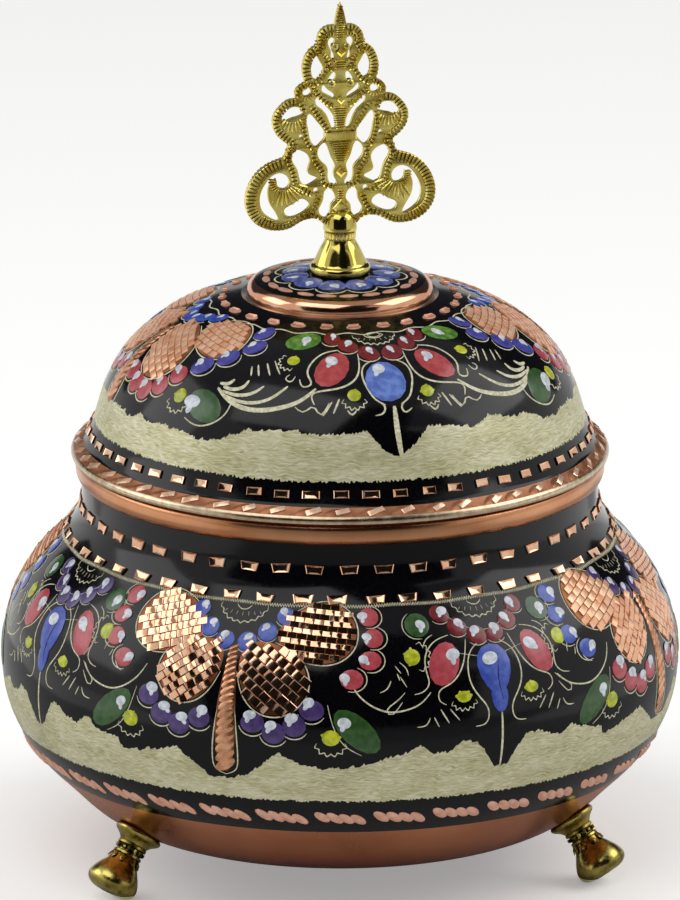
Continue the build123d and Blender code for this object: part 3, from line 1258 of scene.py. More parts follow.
@dataclass
class Lid:
    """The domed lid with its turned-out flange, polished bead and finial platform; sizes in mm."""

    body: str = "lid"
    wall: float = 1.0
    seat: float = 74.4
    ring: float = 44.0
    platform: float = 106.5
    boss: float = 5.8
    hole: float = 1.7

    def dome(self, count: int) -> np.ndarray:
        """Outer curve from the top of the flange in to the groove.

        Args:
            count: Points along it.

        Returns:
            Rows of radius and height.
        """
        knots = [(45.3, 76.3), (43.45, 80.28), (41.6, 86.1), (38.18, 91.94), (31.05, 98.03), (22.5, 101.61)]
        return spline([*knots, (17.4, 102.8)], count)

    @cached_property
    def line(self) -> np.ndarray:
        """The dome that the lid is spun from."""
        return self.dome(60)

    def painted(self) -> Wall:
        """The wall that the ornament is wrapped round."""
        return Wall(self.dome(400), 38.0)

    def build(self) -> None:
        """Spins the lid."""
        lip = [(46.85, self.seat), (46.95, 73.9), (47.3, 73.75), (47.55, 74.2), (47.4, 74.85), (46.95, 75.3)]
        bead = [(16.15, 102.2), (16.4, 103.0), (16.3, 104.1), (15.5, 105.1), (14.2, 105.5)]
        top, low = self.platform, self.platform - self.wall
        platform = [(self.boss, top), (self.hole, top), (self.hole, low), (self.boss, low)]
        inner = [(13.6, 104.1), (15.8, 102.6), *offset(self.line, -self.wall)[2:-2][::-1]]
        seat = (self.ring, self.seat)
        zones = [
            (lambda r, z: z < 75.15 and r > 46.8, LIP),
            (lambda r, z: z < 76.35 and r > 45.25, RIM_COPPER),
            (lambda r, z: 15.1 < r < 16.6 and z > 102.9 or 15.9 < r < 16.6 and z > 102.25, BEAD_COPPER),
            (self.outside, LACQUER),
            (lambda r, z: True, TIN),
        ]
        profile = [seat, spline(lip, 14), self.line, spline(bead, 26), platform, inner, seat]
        piece = turn("lid_wall", profile, zones)
        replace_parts(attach(piece, self.body), "lid_shell")

    def outside(self, r: float, z: float) -> bool:
        """Whether a place is on the outer face of the lid.

        Args:
            r: Radius in mm.
            z: Height in mm.

        Returns:
            True for the outer face.
        """
        if r < 17.4:
            return z > 102.55 and (r > 15.9 or z > self.platform - 0.5 - 0.15 * (r - self.boss))
        return apart(self.line, r, z) < 0.5 * self.wall


@dataclass
class Band:
    """A combed cream band with a ragged upper edge, all round a wall; sizes in mm on the sheet.

    Each dip is the right half of the upper edge round one motif, by the motif's azimuth.
    """

    name: str
    wall: Wall
    lift: float
    bottom: float
    dips: dict[float, Line]
    columns: int = 1440
    rows: int = 4
    high: float = 0.07
    ragged: float = 0.42
    seed: int = 4

    def edge(self, angles: np.ndarray, chance: np.random.Generator) -> np.ndarray:
        """Height of the upper edge.

        Args:
            angles: Azimuth of each column in degrees.
            chance: Source of the raggedness.

        Returns:
            Height of each column.
        """
        scale = math.degrees(1 / self.wall.reach)
        halves = [(a, side * x, y) for a, line in self.dips.items() for x, y in line for side in (-1, 1)]
        knots = sorted({((a + x * scale) % 360, y + self.lift) for a, x, y in halves})
        smooth_edge = np.interp(angles, *zip(*knots), period=360)
        for pitch in (12, 5):
            coarse = chance.uniform(-1, 1, len(angles) // pitch)
            steps = np.arange(len(angles)) / pitch
            wave = np.interp(steps, np.arange(len(coarse)), coarse, period=len(coarse))
            smooth_edge += 0.7 * self.ragged * wave
        tufts: list[float] = []
        while len(tufts) < len(angles):
            long = int(chance.integers(2, 6))
            tufts += [*(chance.uniform(0.3, 1.5) * np.linspace(0, 1, long + 1)[1:])]
        return smooth_edge + self.ragged * np.array(tufts[: len(angles)])

    def build(self, body: str) -> None:
        """Shapes the band from a grid and wraps it.

        Args:
            body: The CAD body it rides on.
        """
        grid = {"x_subdivisions": self.columns, "y_subdivisions": self.rows}
        bpy.ops.mesh.primitive_grid_add(**grid, size=2, location=(0, 0, 0))
        piece = bpy.context.object
        piece.name = piece.data.name = self.name
        with editing(piece) as mesh:
            select_all()
            extrude((0, 0, 1))
            bpy.ops.mesh.select_all(action="DESELECT")
            for face in mesh.faces:
                face.select = abs(face.normal.x) > 0.9
            bpy.ops.mesh.delete(type="FACE")
        across, share, level = points_of(piece).T
        across, share = (across + 1) / 2, (share + 1) / 2
        column = np.rint(across * self.columns).astype(int) % self.columns
        chance = np.random.default_rng(self.seed)
        top = self.edge(np.arange(self.columns) * 360 / self.columns, chance)[column]
        low = self.lift + self.bottom + chance.uniform(-0.24, 0.34, self.columns)[column]
        shoulder = np.where(np.minimum(share, 1 - share) < 0.01, 0.02, self.high)
        out = np.where(level > 0.5, shoulder, -0.12)
        sheet = np.stack([across * math.tau * self.wall.reach, low + share * (top - low), out], 1)
        piece.data.vertices.foreach_set("co", self.wall.place(sheet, 0).ravel())
        unroll(piece.data, sheet)
        seal(piece, 0.005)
        smooth(piece, 40)
        piece.data.materials.append(CREAM.material())
        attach(piece, body)


@dataclass
class Painting:
    """Engraved and painted ornament of one wall; each kind of motif is drawn once and repeated."""

    marks: Marks
    wall: Wall
    body: str
    seed: int = 11
    view: float = -7.0
    pen: float = 0.72
    foot: float = 0.0

    def sheet(self) -> Sheet:
        """An empty sheet."""
        return Sheet(self.marks, random.Random(self.seed), self.pen)

    @cached_property
    def lift(self) -> float:
        """How far up the wall's sheet the ornament's y starts."""
        return self.wall.run_at(self.foot)


@dataclass
class BowlPainting(Painting):
    """The bowl's ornament: y is measured up the wall from the copper underside."""

    palmettes: float = -19.5
    berries: float = 28.0
    foot: float = 20.0
    petals: Table = (
        (-14.2, 39, 15.2, 11.4, 176, (2.45, 1.45), 20),
        (15.4, 39.2, 15, 11.2, 6, (1.9, 1.05), -6, 0.3, 0.95),
        (-7.4, 31.5, 13.2, 10.2, 222, (1.75, 1.4), 38, 0.8),
        (7.3, 31.1, 14.2, 11.2, -48, (1.85, 1.65), -38),
    )
    flower_rows: tuple[Row, ...] = (
        Row(Role.ARCH, ((2.2, 37, 0.1, 0.55), (5.8, 39.1, -0.2, 0.55), (9, 42.3, -0.3, 0.55)),
            (3.7, 3.5), -20, (0, 0), 0.42, (4.3, 4.1), (-150, -30), 0.22),
        Row(Role.SIDE, ((25.4, 42.3), (26, 38.2), (25.2, 34.1), (21.8, 30.8)),
            (4, 3.5), 0, (-0.62, 0.15), 0.5, (5, 4.4), (70, -110), 0.28, (0.2, 0), True),
        Row(Role.LOW, ((4.8, 22.8), (8.5, 21.2), (12, 22.6), (14.9, 25.4)),
            (4.2, 3.8), 0, (-0.25, 0.7), 0.5, (4.9, 4.6), (-165, -30), 0.28, (0, -0.1)),
    )
    flower_lines: Table = (
        (0.22, (17.6, 26.4), (18.6, 22.6), (20.6, 19.2), (23.4, 17.4)),
        (0.3, (31, 28.2), (29.2, 26.6), (27.8, 25), (28.3, 24.5), (29.4, 25.2), (30.5, 26.6)),
        (0.26, (11.2, 34.8), (10.6, 37.4), (9, 38.6)),
        (0.26, (29.6, 33), (30.6, 31.6)),
        (0.26, (30.4, 31), (31.4, 29.2)),
    )
    fruit_row: Row = Row(
        Role.ARCH, ((1.9, 37.4, 0.1, 0.5), (5.4, 39.3, -0.2, 0.4), (8.3, 42.1, -0.3, 0.3)),
        (4, 3.5), 30, (0, 0), 0.52, (4.5, 4), (-140, -40), 0.22,
    )
    fruit_lines: Table = (
        (0.36, (2, 36), (3.9, 34.6), (5.1, 31.6), (4.9, 28.6), (3.6, 26.2), (2.3, 23.8), (2.9, 21.7),
         (4.8, 21.3)),
        (0.34, (4.4, 36.8), (5.3, 33.8), (6.6, 31.2), (9.2, 29), (11, 27.9), (11, 26.4), (9.9, 25.6)),
        (0.34, (7.6, 37.9), (10.6, 36.9), (12.7, 34.4), (12.8, 31.2), (12.7, 29.4), (14, 28.1), (15.4, 27.8)),
        (0.4, (12.5, 28), (14.4, 26.2), (17, 25.2), (20, 25), (23, 26.2), (25.4, 28.4), (26.6, 30.6)),
        (0.3, (9.3, 24.8), (7.7, 22.7)),
        (0.34, (11, 24.9), (9.6, 22.4)),
        (0.3, (12.2, 23.6), (11.4, 21.9)),
        (0.3, (12.9, 23.6), (13.6, 22.4), (15.2, 22.1)),
        (0.26, (10.7, 38.2), (12, 37.5), (13, 35.9)),
        (0.26, (17.6, 33.6), (16.4, 32.2), (16.2, 31.2)),
        (0.3, (18.2, 31.6), (17.8, 30.4)),
        (0.3, (19.4, 30.4), (20.2, 29), (21.4, 28.4)),
    )
    flower_dip: Line = (
        (0, 12.1), (3.2, 12.3), (5.4, 14.3), (9.2, 17), (12.2, 15.8), (17, 14.9), (20.5, 14.7)
    )
    fruit_dip: Line = (
        (0, 13.2), (1.4, 13.6), (3.2, 16.2), (4.6, 18.2), (7.2, 18.6), (9.2, 17.2), (12.4, 17), (14.2, 18.4),
        (17.2, 17.2), (22, 15.8),
    )
    dashes: int = 48
    ropes: int = 34
    zigzags: int = 96

    def palmette(self) -> Sheet:
        """Draws the palmette of four cut petals on a ribbed stem.

        Returns:
            The sheet.
        """
        s = self.sheet()
        for petal in self.petals:
            s.petal(*petal)
        for side in (-1, 1):
            for row in self.flower_rows:
                row.draw(s, side)
            s.bud(side * 18.2, 20.6, 3.1, 2.8, 90)
            s.berry(Role.LEAF, side * 22.6, 21.7, 10.2, 5, -46 * side, (-0.42 * side, 0.62), 0.4)
            for width, *knots in self.flower_lines:
                s.stroke(both(knots, side), width)
        s.rosette(44.2, 10.4, 3.4)
        s.stem(36.2, 13.4, 2, 4.2)
        return s

    def berry_motif(self) -> Sheet:
        """Draws the motif of a blue drop between two red fruits under an arch of berries.

        Returns:
            The sheet.
        """
        s = self.sheet()
        s.dab(Role.DROP, 0, 30.9, 6.4, 9, 0, 0.2, 0.24)
        s.dab(Role.DROP, 0.1, 26, 3.2, 5.6, 0, 0.2, 0.1)
        s.dab(Role.GLINT, -0.6, 32.8, 3.1, 2.3, 10, 0.12, base=0.17)
        s.stroke([(1, 32.4), (0.3, 29), (0.7, 25.2)], 0.4, role=Role.SEAM, high=0.26)
        s.stroke([(0.2, 23.4), (0.1, 18), (-0.1, 13.4)], 0.55)
        arch = [(2.0, 38.4), (5.6, 40.4), (8.5, 43.0)]
        s.stroke([*both(arch[::-1], -1), *arch], 0.16, role=Role.GLINT, high=0.2)
        s.rosette(44.2, 10.6, 3.2)
        for side in (-1, 1):
            self.fruit_row.draw(s, side)
            s.berry(Role.LEAF, side * 13.3, 40.3, 5.2, 4.7, 0, (0.25, 0), 0.42)
            s.arc(side * 13.3, 40.3, 5.9, 5.4, 90 - side * 30, 90 - side * 190, wide=0.24)
            s.berry(Role.SIDE, side * 9.4, 32.8, 8.2, 5.3, -66 * side, (0.1 - 0.35 * side, 0.55), 0.44)
            s.bud(side * 15.2, 34.4, 3, 3, 90 - 90 * side)
            s.bud(side * 6.6, 26.7, 2.7, 2, 90)
            for width, *knots in self.fruit_lines:
                s.stroke(both(knots, side), width)
            s.stroke([(-0.4 - 0.5 * side, 32.8), (8.0 * side, 34.8)], 0.14)
        return s

    def border_marks(self) -> Sheet:
        """Cuts the rows of dashes, the rope marks and the serrated line, all round.

        Returns:
            The sheet.
        """
        s = self.sheet()
        wobble, reach = s.chance.uniform, self.wall.reach
        for height, shift, wide in ((65.2, 0.35, 3.9), (60.4, 0.0, 4.0)):
            y = self.wall.run_at(height) - self.lift
            for x in s.around(self.dashes, reach, shift, 0.06):
                place = x, y + wobble(-0.1, 0.1)
                sides = wide * wobble(0.88, 1.04), 1.62 * wobble(0.9, 1.1)
                s.dab(Role.FACET, *place, *sides, wobble(-4, 4), 0.22, 0.12, mark=self.marks.scoop)
        for x in s.around(self.ropes, reach, 0.35):
            for lobe in range(4):
                u = (lobe - 1.5) * 2.2 + wobble(-0.12, 0.12)
                sides = 3.6 * wobble(0.94, 1.06), 1.8
                s.dab(Role.ROPE, x + u, 4.0 - 0.1 * u, *sides, -42, 0.5, mark=self.marks.lobe)
            # Painted shade: a brown dab under the lobes shows in the creases between them.
            s.dab(Role.PETAL, x, 4, 8.6, 1.7, -6, 0.1)
        for k, x in enumerate(s.around(self.zigzags, reach)):
            ends = [(x, k), (x + math.tau * reach / self.zigzags, k + 1)]
            s.stroke([(a, 44.55 + 0.12 * math.sin(1.3 * n)) for a, n in ends], 0.44, 7, 0.62, ends=1)
        return s

    def build(self) -> None:
        """Lays the whole ornament."""
        first, second = self.palmettes + self.view, self.berries + self.view
        common = PAINTS | {
            Role.ROPE: ("rope_marks", ROPE_COPPER),
            Role.DROP: ("blue_drops", BLUE),
            Role.SEAM: ("drop_seams", NAVY),
        }
        blue, rose, purple = ("blue_berries", BLUE), ("rose_berries", ROSE), ("purple_berries", PURPLE)
        warm = common | {Role.ARCH: blue, Role.SIDE: rose, Role.LOW: purple}
        cool = common | {Role.ARCH: purple, Role.SIDE: blue, Role.LOW: rose}
        red = common | {Role.ARCH: ("dark_red_berries", DARK_RED), Role.SIDE: ("rose_fruits", ROSE)}
        flowers, fruits = self.palmette(), self.berry_motif()
        ornament = Ornament(self.body, "bowl", self.wall)
        for sheet, azimuths, paints in (
            (flowers, (first, first + 180), warm),
            (flowers, (first + 90, first - 90), cool | {Role.FACET: ("scale_cuts", SCALE_COPPER)}),
            (fruits, (second, second + 180), red),
            (fruits, (second + 90, second - 90), red | {Role.ARCH: purple}),
            (self.border_marks(), (0,), common | {Role.FACET: ("neck_dashes", CUT_COPPER)}),
        ):
            ornament.add(sheet, azimuths, paints, self.lift)
        ornament.build()
        dips = {first + 90 * k: self.flower_dip for k in range(4)}
        dips |= {second + 90 * k: self.fruit_dip for k in range(4)}
        Band("bowl_cream_band", self.wall, self.lift, 8.1, dips).build(self.body)


@dataclass
class LidPainting(Painting):
    """The lid's ornament: y is measured up the dome from just above the flange."""

    palmettes: float = -77.0
    berries: float = 14.3
    foot: float = 76.5
    pen: float = 0.92
    flower_rows: tuple[Row, ...] = (
        Row(Role.ARCH, ((1.6, 31.4), (5.3, 32.8), (9.8, 34.2)),
            (5, 3), 20, (0, 0.45), 0.42, (5.6, 3.7), (-150, -30), 0.24),
        Row(Role.SIDE, ((29.6, 33.6), (30.2, 29.5), (25.8, 25.9), (21.2, 23)),
            (5.2, 3.7), 30, (-0.4, 0.35), 0.42, (6, 4.5), (30, -130), 0.28, mirrored=True),
        Row(Role.LOW, ((3.6, 17.2), (7.2, 15.7), (10.9, 15.2), (14.3, 17), (17.2, 20)),
            (3.9, 3.7), 0, (-0.5, 0.6), 0.45, (4.6, 4.4), (-165, -30), 0.28, (0, -0.1)),
    )
    fruit_row: Row = Row(
        Role.ARCH, ((2.8, 29.4), (7.6, 31.5), (11.6, 33.6)),
        (5.2, 3.7), 24, (-0.1, 0.45), 0.45, (5.9, 4.3), (-150, -30), 0.26,
    )
    fruit_lines: Table = (
        (0.4, (2.6, 27.4), (4.6, 26), (5, 23.6), (4.2, 21), (3.1, 19), (1.4, 17.8)),
        (0.42, (5.4, 29.4), (5.4, 26.4), (6.4, 23.4), (9.6, 21.4), (12.6, 20.8), (14.6, 19.9), (14, 18)),
        (0.42, (9.9, 30.4), (13.4, 29.4), (15.6, 27), (15.9, 24), (15.1, 22), (16.4, 21.5), (17.4, 23)),
        (0.95, (14, 21.2), (16.4, 18.8), (20.2, 17), (24.6, 16.2), (29, 17), (33, 19.4)),
        (0.7, (31.6, 18.4), (27, 17.4), (22.6, 18.4), (19.4, 21.4)),
        (0.75, (31.8, 19), (28.4, 18.6), (25.4, 19.6), (24, 21)),
        (0.8, (32, 19.8), (29.8, 19.6), (27.8, 20.6), (27.4, 21.8)),
        (0.8, (33, 20.4), (31.2, 20.6), (30.4, 21.6)),
        (0.4, (27.4, 22.8), (28.2, 24.9)),
        (0.42, (25.8, 23), (27, 25.4)),
        (0.42, (23.6, 23.4), (25.2, 26)),
        (0.36, (21.6, 23.8), (23.8, 26.8)),
        (0.4, (10.6, 16.4), (9.6, 19.2)),
        (0.42, (12.4, 15.9), (10.9, 18.6)),
        (0.32, (11.4, 18.4), (13, 16.2), (14.2, 17.6), (15.6, 16.6), (17.4, 17.4)),
        (0.3, (18.4, 23.6), (19.2, 22.4), (20.2, 23), (19.6, 23.9)),
        (0.34, (6.6, 17), (7.4, 16.2), (8.2, 17)),
    )
    fruit_dip: Line = (
        (0, 8.2), (1.6, 9.1), (3.8, 11.1), (5.2, 12.8), (8, 12.6), (11.5, 11.9), (14, 12), (17, 13.2),
        (21.5, 12.3), (25, 12.2), (27.5, 11), (29.5, 9.8),
    )
    flower_dip: Line = (
        (0, 9.9), (4.5, 10.4), (9.5, 9.7), (12.8, 10.8), (15.2, 9.9), (22, 10.3), (25.5, 9.7), (29.5, 9.6)
    )
    dashes: int = 54
    groove_dashes: int = 26
    waves: int = 48
    rope_cuts: int = 52
    ovals: int = 20
    petals: int = 11

    def palmette(self) -> Sheet:
        """Draws the lid's palmette, whose four cut petals are wider apart.

        Returns:
            The sheet.
        """
        s = self.sheet()
        for side in (-1, 1):
            s.petal(side * 19, 30.4, 15.6, 10.2, 90 - side * 98, (2.3, 1.35), -10 * side, 0.16)
            s.petal(side * 8.3, 24.6, 14.8, 11.8, -90 + side * 40, (2.2, 1.4), -30 * side, 0.16)
            for row in self.flower_rows:
                row.draw(s, side)
            s.bud(side * 20.4, 16.4, 2.6, 2.8, 90)
            s.berry(Role.LEAF, side * 26.3, 15.6, 7.6, 5.8, -25 * side, (-0.7 * side, 0.1), 0.5)
            s.stroke(both([(23.2, 12.8), (26, 11.9), (29, 12.8), (31, 15), (31.4, 17.4)], side), 0.32)
        s.stem(27.6, 9.6, 2.6, 4.8)
        return s

    def berry_motif(self) -> Sheet:
        """Draws the motif of a blue disc between two red fruits, with scrolls that sweep to the palmettes.

        Returns:
            The sheet.
        """
        s = self.sheet()
        s.berry(Role.DROP, -0.6, 22.7, 8, 8.6, 0, (-0.22, 0.62), 0.3)
        s.stroke([(0.1, 17.5), (0, 13), (0.3, 8.3)], 1, teeth=14, depth=0.12)
        s.stroke([(-2.4, 18.4), (-1.6, 17.4), (-2, 16.3), (-3.4, 15.9)], 0.36)
        s.stroke([(2.4, 18.4), (1.4, 17.2), (1.7, 16.3), (3.2, 16.9)], 0.36)
        s.rosette(34.9, 12.6, 2.9)
        s.arc(0, 34.6, 5.4, 1.6, 0, 359, wide=0.3)
        for side in (-1, 1):
            self.fruit_row.draw(s, side)
            s.berry(Role.LEAF, side * 19, 32.6, 9.2, 4.8, 12 * -side, (-0.15 * side, 0.12), 0.46)
            s.berry(Role.SIDE, side * 11.1, 25.6, 9, 6, -48 * side, (-0.05 * side - 0.1, 0.62), 0.38)
            s.bud(side * 19.7, 27.2, 2.8, 2.2, 90 + 60 * side)
            s.bud(side * 6.9, 19.9, 2.5, 2.4, 90)
            for width, *knots in self.fruit_lines:
                s.stroke(both(knots, side), width)
        return s

    def border_marks(self) -> Sheet:
        """Cuts the dashes, those of the groove and the wavy line, all round.

        Returns:
            The sheet.
        """
        s = self.sheet()
        wobble, reach = s.chance.uniform, self.wall.reach
        for x in s.around(self.dashes, reach, 0, 0.05):
            place, sides = (x, 2.0 + wobble(-0.12, 0.12)), (2.45 * wobble(0.85, 1.1), 1.45)
            s.dab(Role.FACET, *place, *sides, wobble(-4, 4), 0.2, mark=self.marks.scoop)
        for x in s.around(self.groove_dashes, reach, 0, 0.05):
            s.dab(Role.SEAM, x, 37.6, 5.0 * wobble(0.85, 1.1), 1.6, wobble(-5, 5), 0.14)
            s.dab(Role.SEAM, x, 37.6, 3.6, 0.9, wobble(-5, 5), 0.3, mark=self.marks.scoop)
        step = math.tau * reach / self.waves
        for k, x in enumerate(s.around(self.waves, reach)):
            bend = 0.35 if k % 2 else -0.35
            s.stroke([(x, 35.3), (x + step / 2, 35.3 + bend), (x + step, 35.3)], 0.3, ends=1)
        return s

    def flange(self) -> Ornament:
        """Cuts the slanted wedges round the flange.

        Returns:
            The flange's ornament.
        """
        slope = Wall(np.array([(47.1, 75.1), (46.95, 75.3), (45.3, 76.3)]), 46.0)
        s = self.sheet()
        for x in s.around(self.rope_cuts, slope.reach, 0, 0.1):
            lean = 27 + s.chance.uniform(-6, 6)
            s.dab(Role.ROPE, x - 0.9, 1, 3.4, 1.5, lean, 0.24, mark=self.marks.lobe)
            sides = 2.7 * s.chance.uniform(0.8, 1.15), 1.0 * s.chance.uniform(0.85, 1.1)
            s.dab(Role.FACET, x + 0.7, 1.1, *sides, lean - 4, 0.24, mark=self.marks.facet)
        cut = Ornament(self.body, "flange", slope)
        cut.add(s, (0,), {Role.FACET: ("bright_cuts", RIM_CUTS), Role.ROPE: ("rope_cuts", RIM_COPPER)})
        return cut

    def platform(self) -> Ornament:
        """Paints the ring of blue petals round the finial and cuts the ovals outside it.

        Returns:
            The platform's ornament.
        """
        slope = Wall(np.array([(14.2, 105.5), (5.8, 106.5)]), 10.0)
        s = self.sheet()
        wobble = s.chance.uniform
        for x in s.around(self.ovals, slope.reach, 0, 0.08):
            s.dab(Role.ROPE, x, 1.1, 2.7 * wobble(0.85, 1.1), 1.35, wobble(-7, 7), 0.18)
        for x in s.around(self.petals, slope.reach, 0.5):
            s.berry(Role.ARCH, x, 6.2, 6.2, 5.2, 0, (0.15, -0.15), 0.34, -0.1)
            s.arc(x, 5.4, 6.2, 6, -152, -28, wide=0.34)
        painted = Ornament(self.body, "platform", slope)
        own = {Role.ARCH: ("blue_petals", PETAL_BLUE), Role.ROPE: ("ovals", ROPE_COPPER)}
        painted.add(s, (0,), PAINTS | own)
        return painted

    def build(self) -> None:
        """Lays the whole ornament."""
        first, second = self.palmettes + self.view, self.berries + self.view
        flowers = PAINTS | {
            Role.ARCH: ("blue_berries", BLUE),
            Role.SIDE: ("indigo_berries", INDIGO),
            Role.LOW: ("rose_berries", ROSE),
            Role.FACET: ("scale_cuts", SCALE_COPPER),
            Role.PETAL: ("rim_copper_petals", RIM_COPPER),
        }
        fruits = PAINTS | {
            Role.ARCH: ("dark_red_berries", DARK_RED),
            Role.SIDE: ("scarlet_fruits", SCARLET),
            Role.LEAF: ("bright_leaves", LEAF_GREEN),
            Role.DROP: ("blue_discs", SKY_BLUE),
        }
        borders = PAINTS | {Role.FACET: ("dashes", CUT_COPPER), Role.SEAM: ("groove_dashes", ROPE_COPPER)}
        ornament = Ornament(self.body, "lid", self.wall)
        ornament.add(self.palmette(), (first, first + 180), flowers, self.lift)
        ornament.add(self.berry_motif(), (second, second + 180), fruits, self.lift)
        ornament.add(self.border_marks(), (0,), borders, self.lift)
        for laid in (ornament, self.flange(), self.platform()):
            laid.build()
        dips = {first + 180 * k: self.flower_dip for k in range(2)}
        dips |= {second + 180 * k: self.fruit_dip for k in range(2)}
        Band("lid_cream_band", self.wall, self.lift, 4.2, dips, columns=1200, seed=9).build(self.body)


@dataclass
class FinialPlate:
    """The pierced brass plate: a flat curve with openings, then ribs, fans, knobs and an urn in relief.

    Sizes are in mm, with x from the plate's middle and y from the floor. A rim and a band are a width and a
    line; an opening is its outline; a hole and a knob are a place and a radius; a fan is a place, two radii
    and two angles; an urn rib is a top, a foot and two half widths; a diamond is a height and a size.
    """

    marks: Marks
    body: str = "lid"
    turned: float = 8.0
    half: float = 0.45
    edge: float = 0.14
    rib_pitch: float = 0.74
    wider: float = 1.13
    rims: Table = (
        (0.5, (0, 155.2), (0.35, 154.3), (0.65, 153.2), (0.85, 152.2), (1, 151.4)),
        (1.4, (1, 151.4), (2.4, 151.3), (3.6, 150.4), (4.05, 149.2), (3.95, 148.1)),
        (1.5, (3.95, 148.1), (5.5, 147.2), (6.5, 145.5), (6.8, 143.8), (6.3, 141.4)),
        (1.1, (6.3, 141.4), (7.3, 140.9), (8.1, 139.9), (7.9, 138.5)),
        (1.35, (7.9, 138.5), (9.3, 138.4), (11, 137.2), (12.1, 135.4), (12.1, 133.7), (11.1, 131.9),
         (9.4, 130.5)),
        (1.2, (9.4, 130.5), (9.6, 129.2), (10.4, 127.9)),
        (1.85, (10.4, 127.9), (12.6, 127.2), (14.8, 125.8), (16.4, 123.6), (17.1, 121.2), (16.9, 118.9),
         (15.7, 116.9), (13.7, 115.6), (12.4, 115.2)),
        (1.2, (12.4, 115.2), (11, 115.1), (9, 115.5), (6.9, 116.6), (5.3, 116.9)),
        (0.8, (5.3, 116.9), (4.1, 116.6), (2.7, 115.4)),
    )
    openings: tuple[Line, ...] = (
        ((1.6, 149.2), (2.2, 148.7), (2.25, 147.9), (1.85, 146.9), (1.7, 145.6), (1.3, 145.3), (1.15, 146.2),
         (1.45, 147.2), (1.2, 148), (1.05, 148.8)),
        ((4.5, 146.1), (5.35, 145.3), (5.5, 143.7), (5, 142.4), (4.2, 142), (3.3, 143.1), (3.2, 144),
         (3.7, 145)),
        ((1.15, 143.1), (1.95, 142.4), (2.35, 141.4), (1.1, 141.6)),
        ((3.1, 140.8), (3.4, 140.1), (1.95, 138.7), (1.2, 138.4), (1.15, 138.9), (2.3, 140)),
        ((4.2, 138.4), (4.45, 137.7), (3.3, 136.2), (2.3, 134.6), (1.3, 133.1), (0.95, 133.4), (1.15, 134.9),
         (1.95, 136.2), (3.1, 137.5)),
        ((5.6, 135.5), (6.05, 134.8), (5.9, 133.2), (5.55, 131.4), (5, 130.4), (4.4, 130), (3.85, 130.4),
         (2.95, 131.6), (3.1, 132.6), (3.95, 133.8), (4.9, 135)),
        ((6.8, 136), (7.5, 136.9), (8.8, 137.2), (10, 136.8), (10.6, 135.6), (10.1, 134.8), (9, 135.1),
         (7.8, 135.4)),
        ((2.75, 130), (3.7, 129.4), (4.05, 128.1), (3.4, 126.9), (2.5, 125.9), (2.4, 124.2), (1.3, 122.9),
         (0.8, 123.2), (1.3, 124.7), (1.05, 125.9), (1.7, 127.6), (2.3, 129.4)),
        ((7.9, 129.1), (8.7, 127.6), (7.9, 126), (7.2, 123.7), (6.6, 123.1), (5.5, 123.4), (4.4, 124.3),
         (5, 124.7), (5.9, 125.2), (5.6, 126.9), (6, 128.2), (7, 128.9)),
        ((9.3, 123.3), (9.6, 124.5), (10.8, 125.3), (12.3, 125), (13.6, 123.7), (14.6, 121.6),
         (14.5, 119.4), (13.2, 117.7), (11.2, 116.9), (11.7, 118.4), (12.8, 120.3), (13, 122.1),
         (12.5, 123.5), (11.8, 124.1), (11.7, 123.3), (11, 122.5), (10, 122.4)),
        ((5.8, 119.1), (7.15, 120.4), (8.5, 119.7), (10.1, 118.6), (9.6, 117.6), (7.8, 117.6), (6.5, 118.3)),
        ((2.05, 121.9), (2.8, 121.6), (3.2, 119.9), (3.9, 118.3), (3.5, 117.4), (2.6, 117), (1.9, 117.9),
         (1.7, 119.1), (1.1, 119.8), (1.3, 121.1)),
    )
    holes: tuple[Triple, ...] = ((6.15, 139.8, 0.9), (7.2, 131.8, 0.45), (4.5, 121.9, 0.55))
    bands: Table = (
        (0.9, (1.9, 144.5), (2.9, 142.9), (4, 141.5), (5.2, 140.8)),
        (0.9, (4.9, 140.5), (3.9, 138.9), (2.6, 137.6), (1.4, 136.9)),
        (1, (5.4, 137.3), (4.6, 136.1), (3.6, 134.6), (2.7, 133.2), (2, 132.2)),
        (0.9, (6.5, 135.6), (6.7, 133.6), (6.3, 131.4), (5.6, 129.9), (4.9, 129.4)),
        (1, (4.7, 129.3), (4.8, 127.5), (3.9, 126), (3.2, 124.6), (3.2, 123.3), (2.2, 122.5), (1, 122.2)),
        (1.1, (9.2, 129.6), (9.4, 127.2), (8.6, 125.2), (8.1, 123), (6.6, 121.9), (4.9, 121)),
        (1, (3.9, 121.1), (4.3, 119.6), (5, 118.2), (5.6, 117.2)),
        (0.9, (7.4, 138.1), (6.9, 137), (6.6, 136)),
        (1.1, (8.6, 131.2), (8.3, 130.2), (8.9, 129.2)),
        (0.9, (3.1, 150.2), (2.8, 149), (3.2, 147.6), (3.9, 146.6)),
        (0.8, (2.6, 145.8), (2.3, 144.2), (1.4, 143.5)),
    )
    fans: Table = (
        ((10.4, 123.7), 1.5, 4.6, -165, -55),
        ((10.4, 123.7), 1.4, 2.6, -55, 15),
        ((8.7, 136.4), 1.9, 3.9, -128, -45),
        ((6.15, 139.8), 1, 1.7, -170, 170),
        ((4.4, 144.1), 2.1, 3, 60, 200),
        ((1.7, 147.6), 1.7, 3, -30, 100),
    )
    urn: Table = (
        (136.6, 132.6, 1.5, 0.85), (130.6, 126.4, 2.3, 0.75), (145, 143.4, 0.9, 1.3),
        (154.2, 151.6, 0.3, 0.7), (151.2, 149, 0.8, 0.9), (121.6, 119.4, 0.6, 0.7),
    )
    knobs: tuple[Triple, ...] = ((1.7, 140.9, 0.72), (1.05, 147.6, 0.6), (1.2, 145.0, 0.42))
    diamonds: tuple[Point, ...] = ((124.9, 1.5), (118.4, 2.3), (146.6, 1.3), (138.0, 1.2))

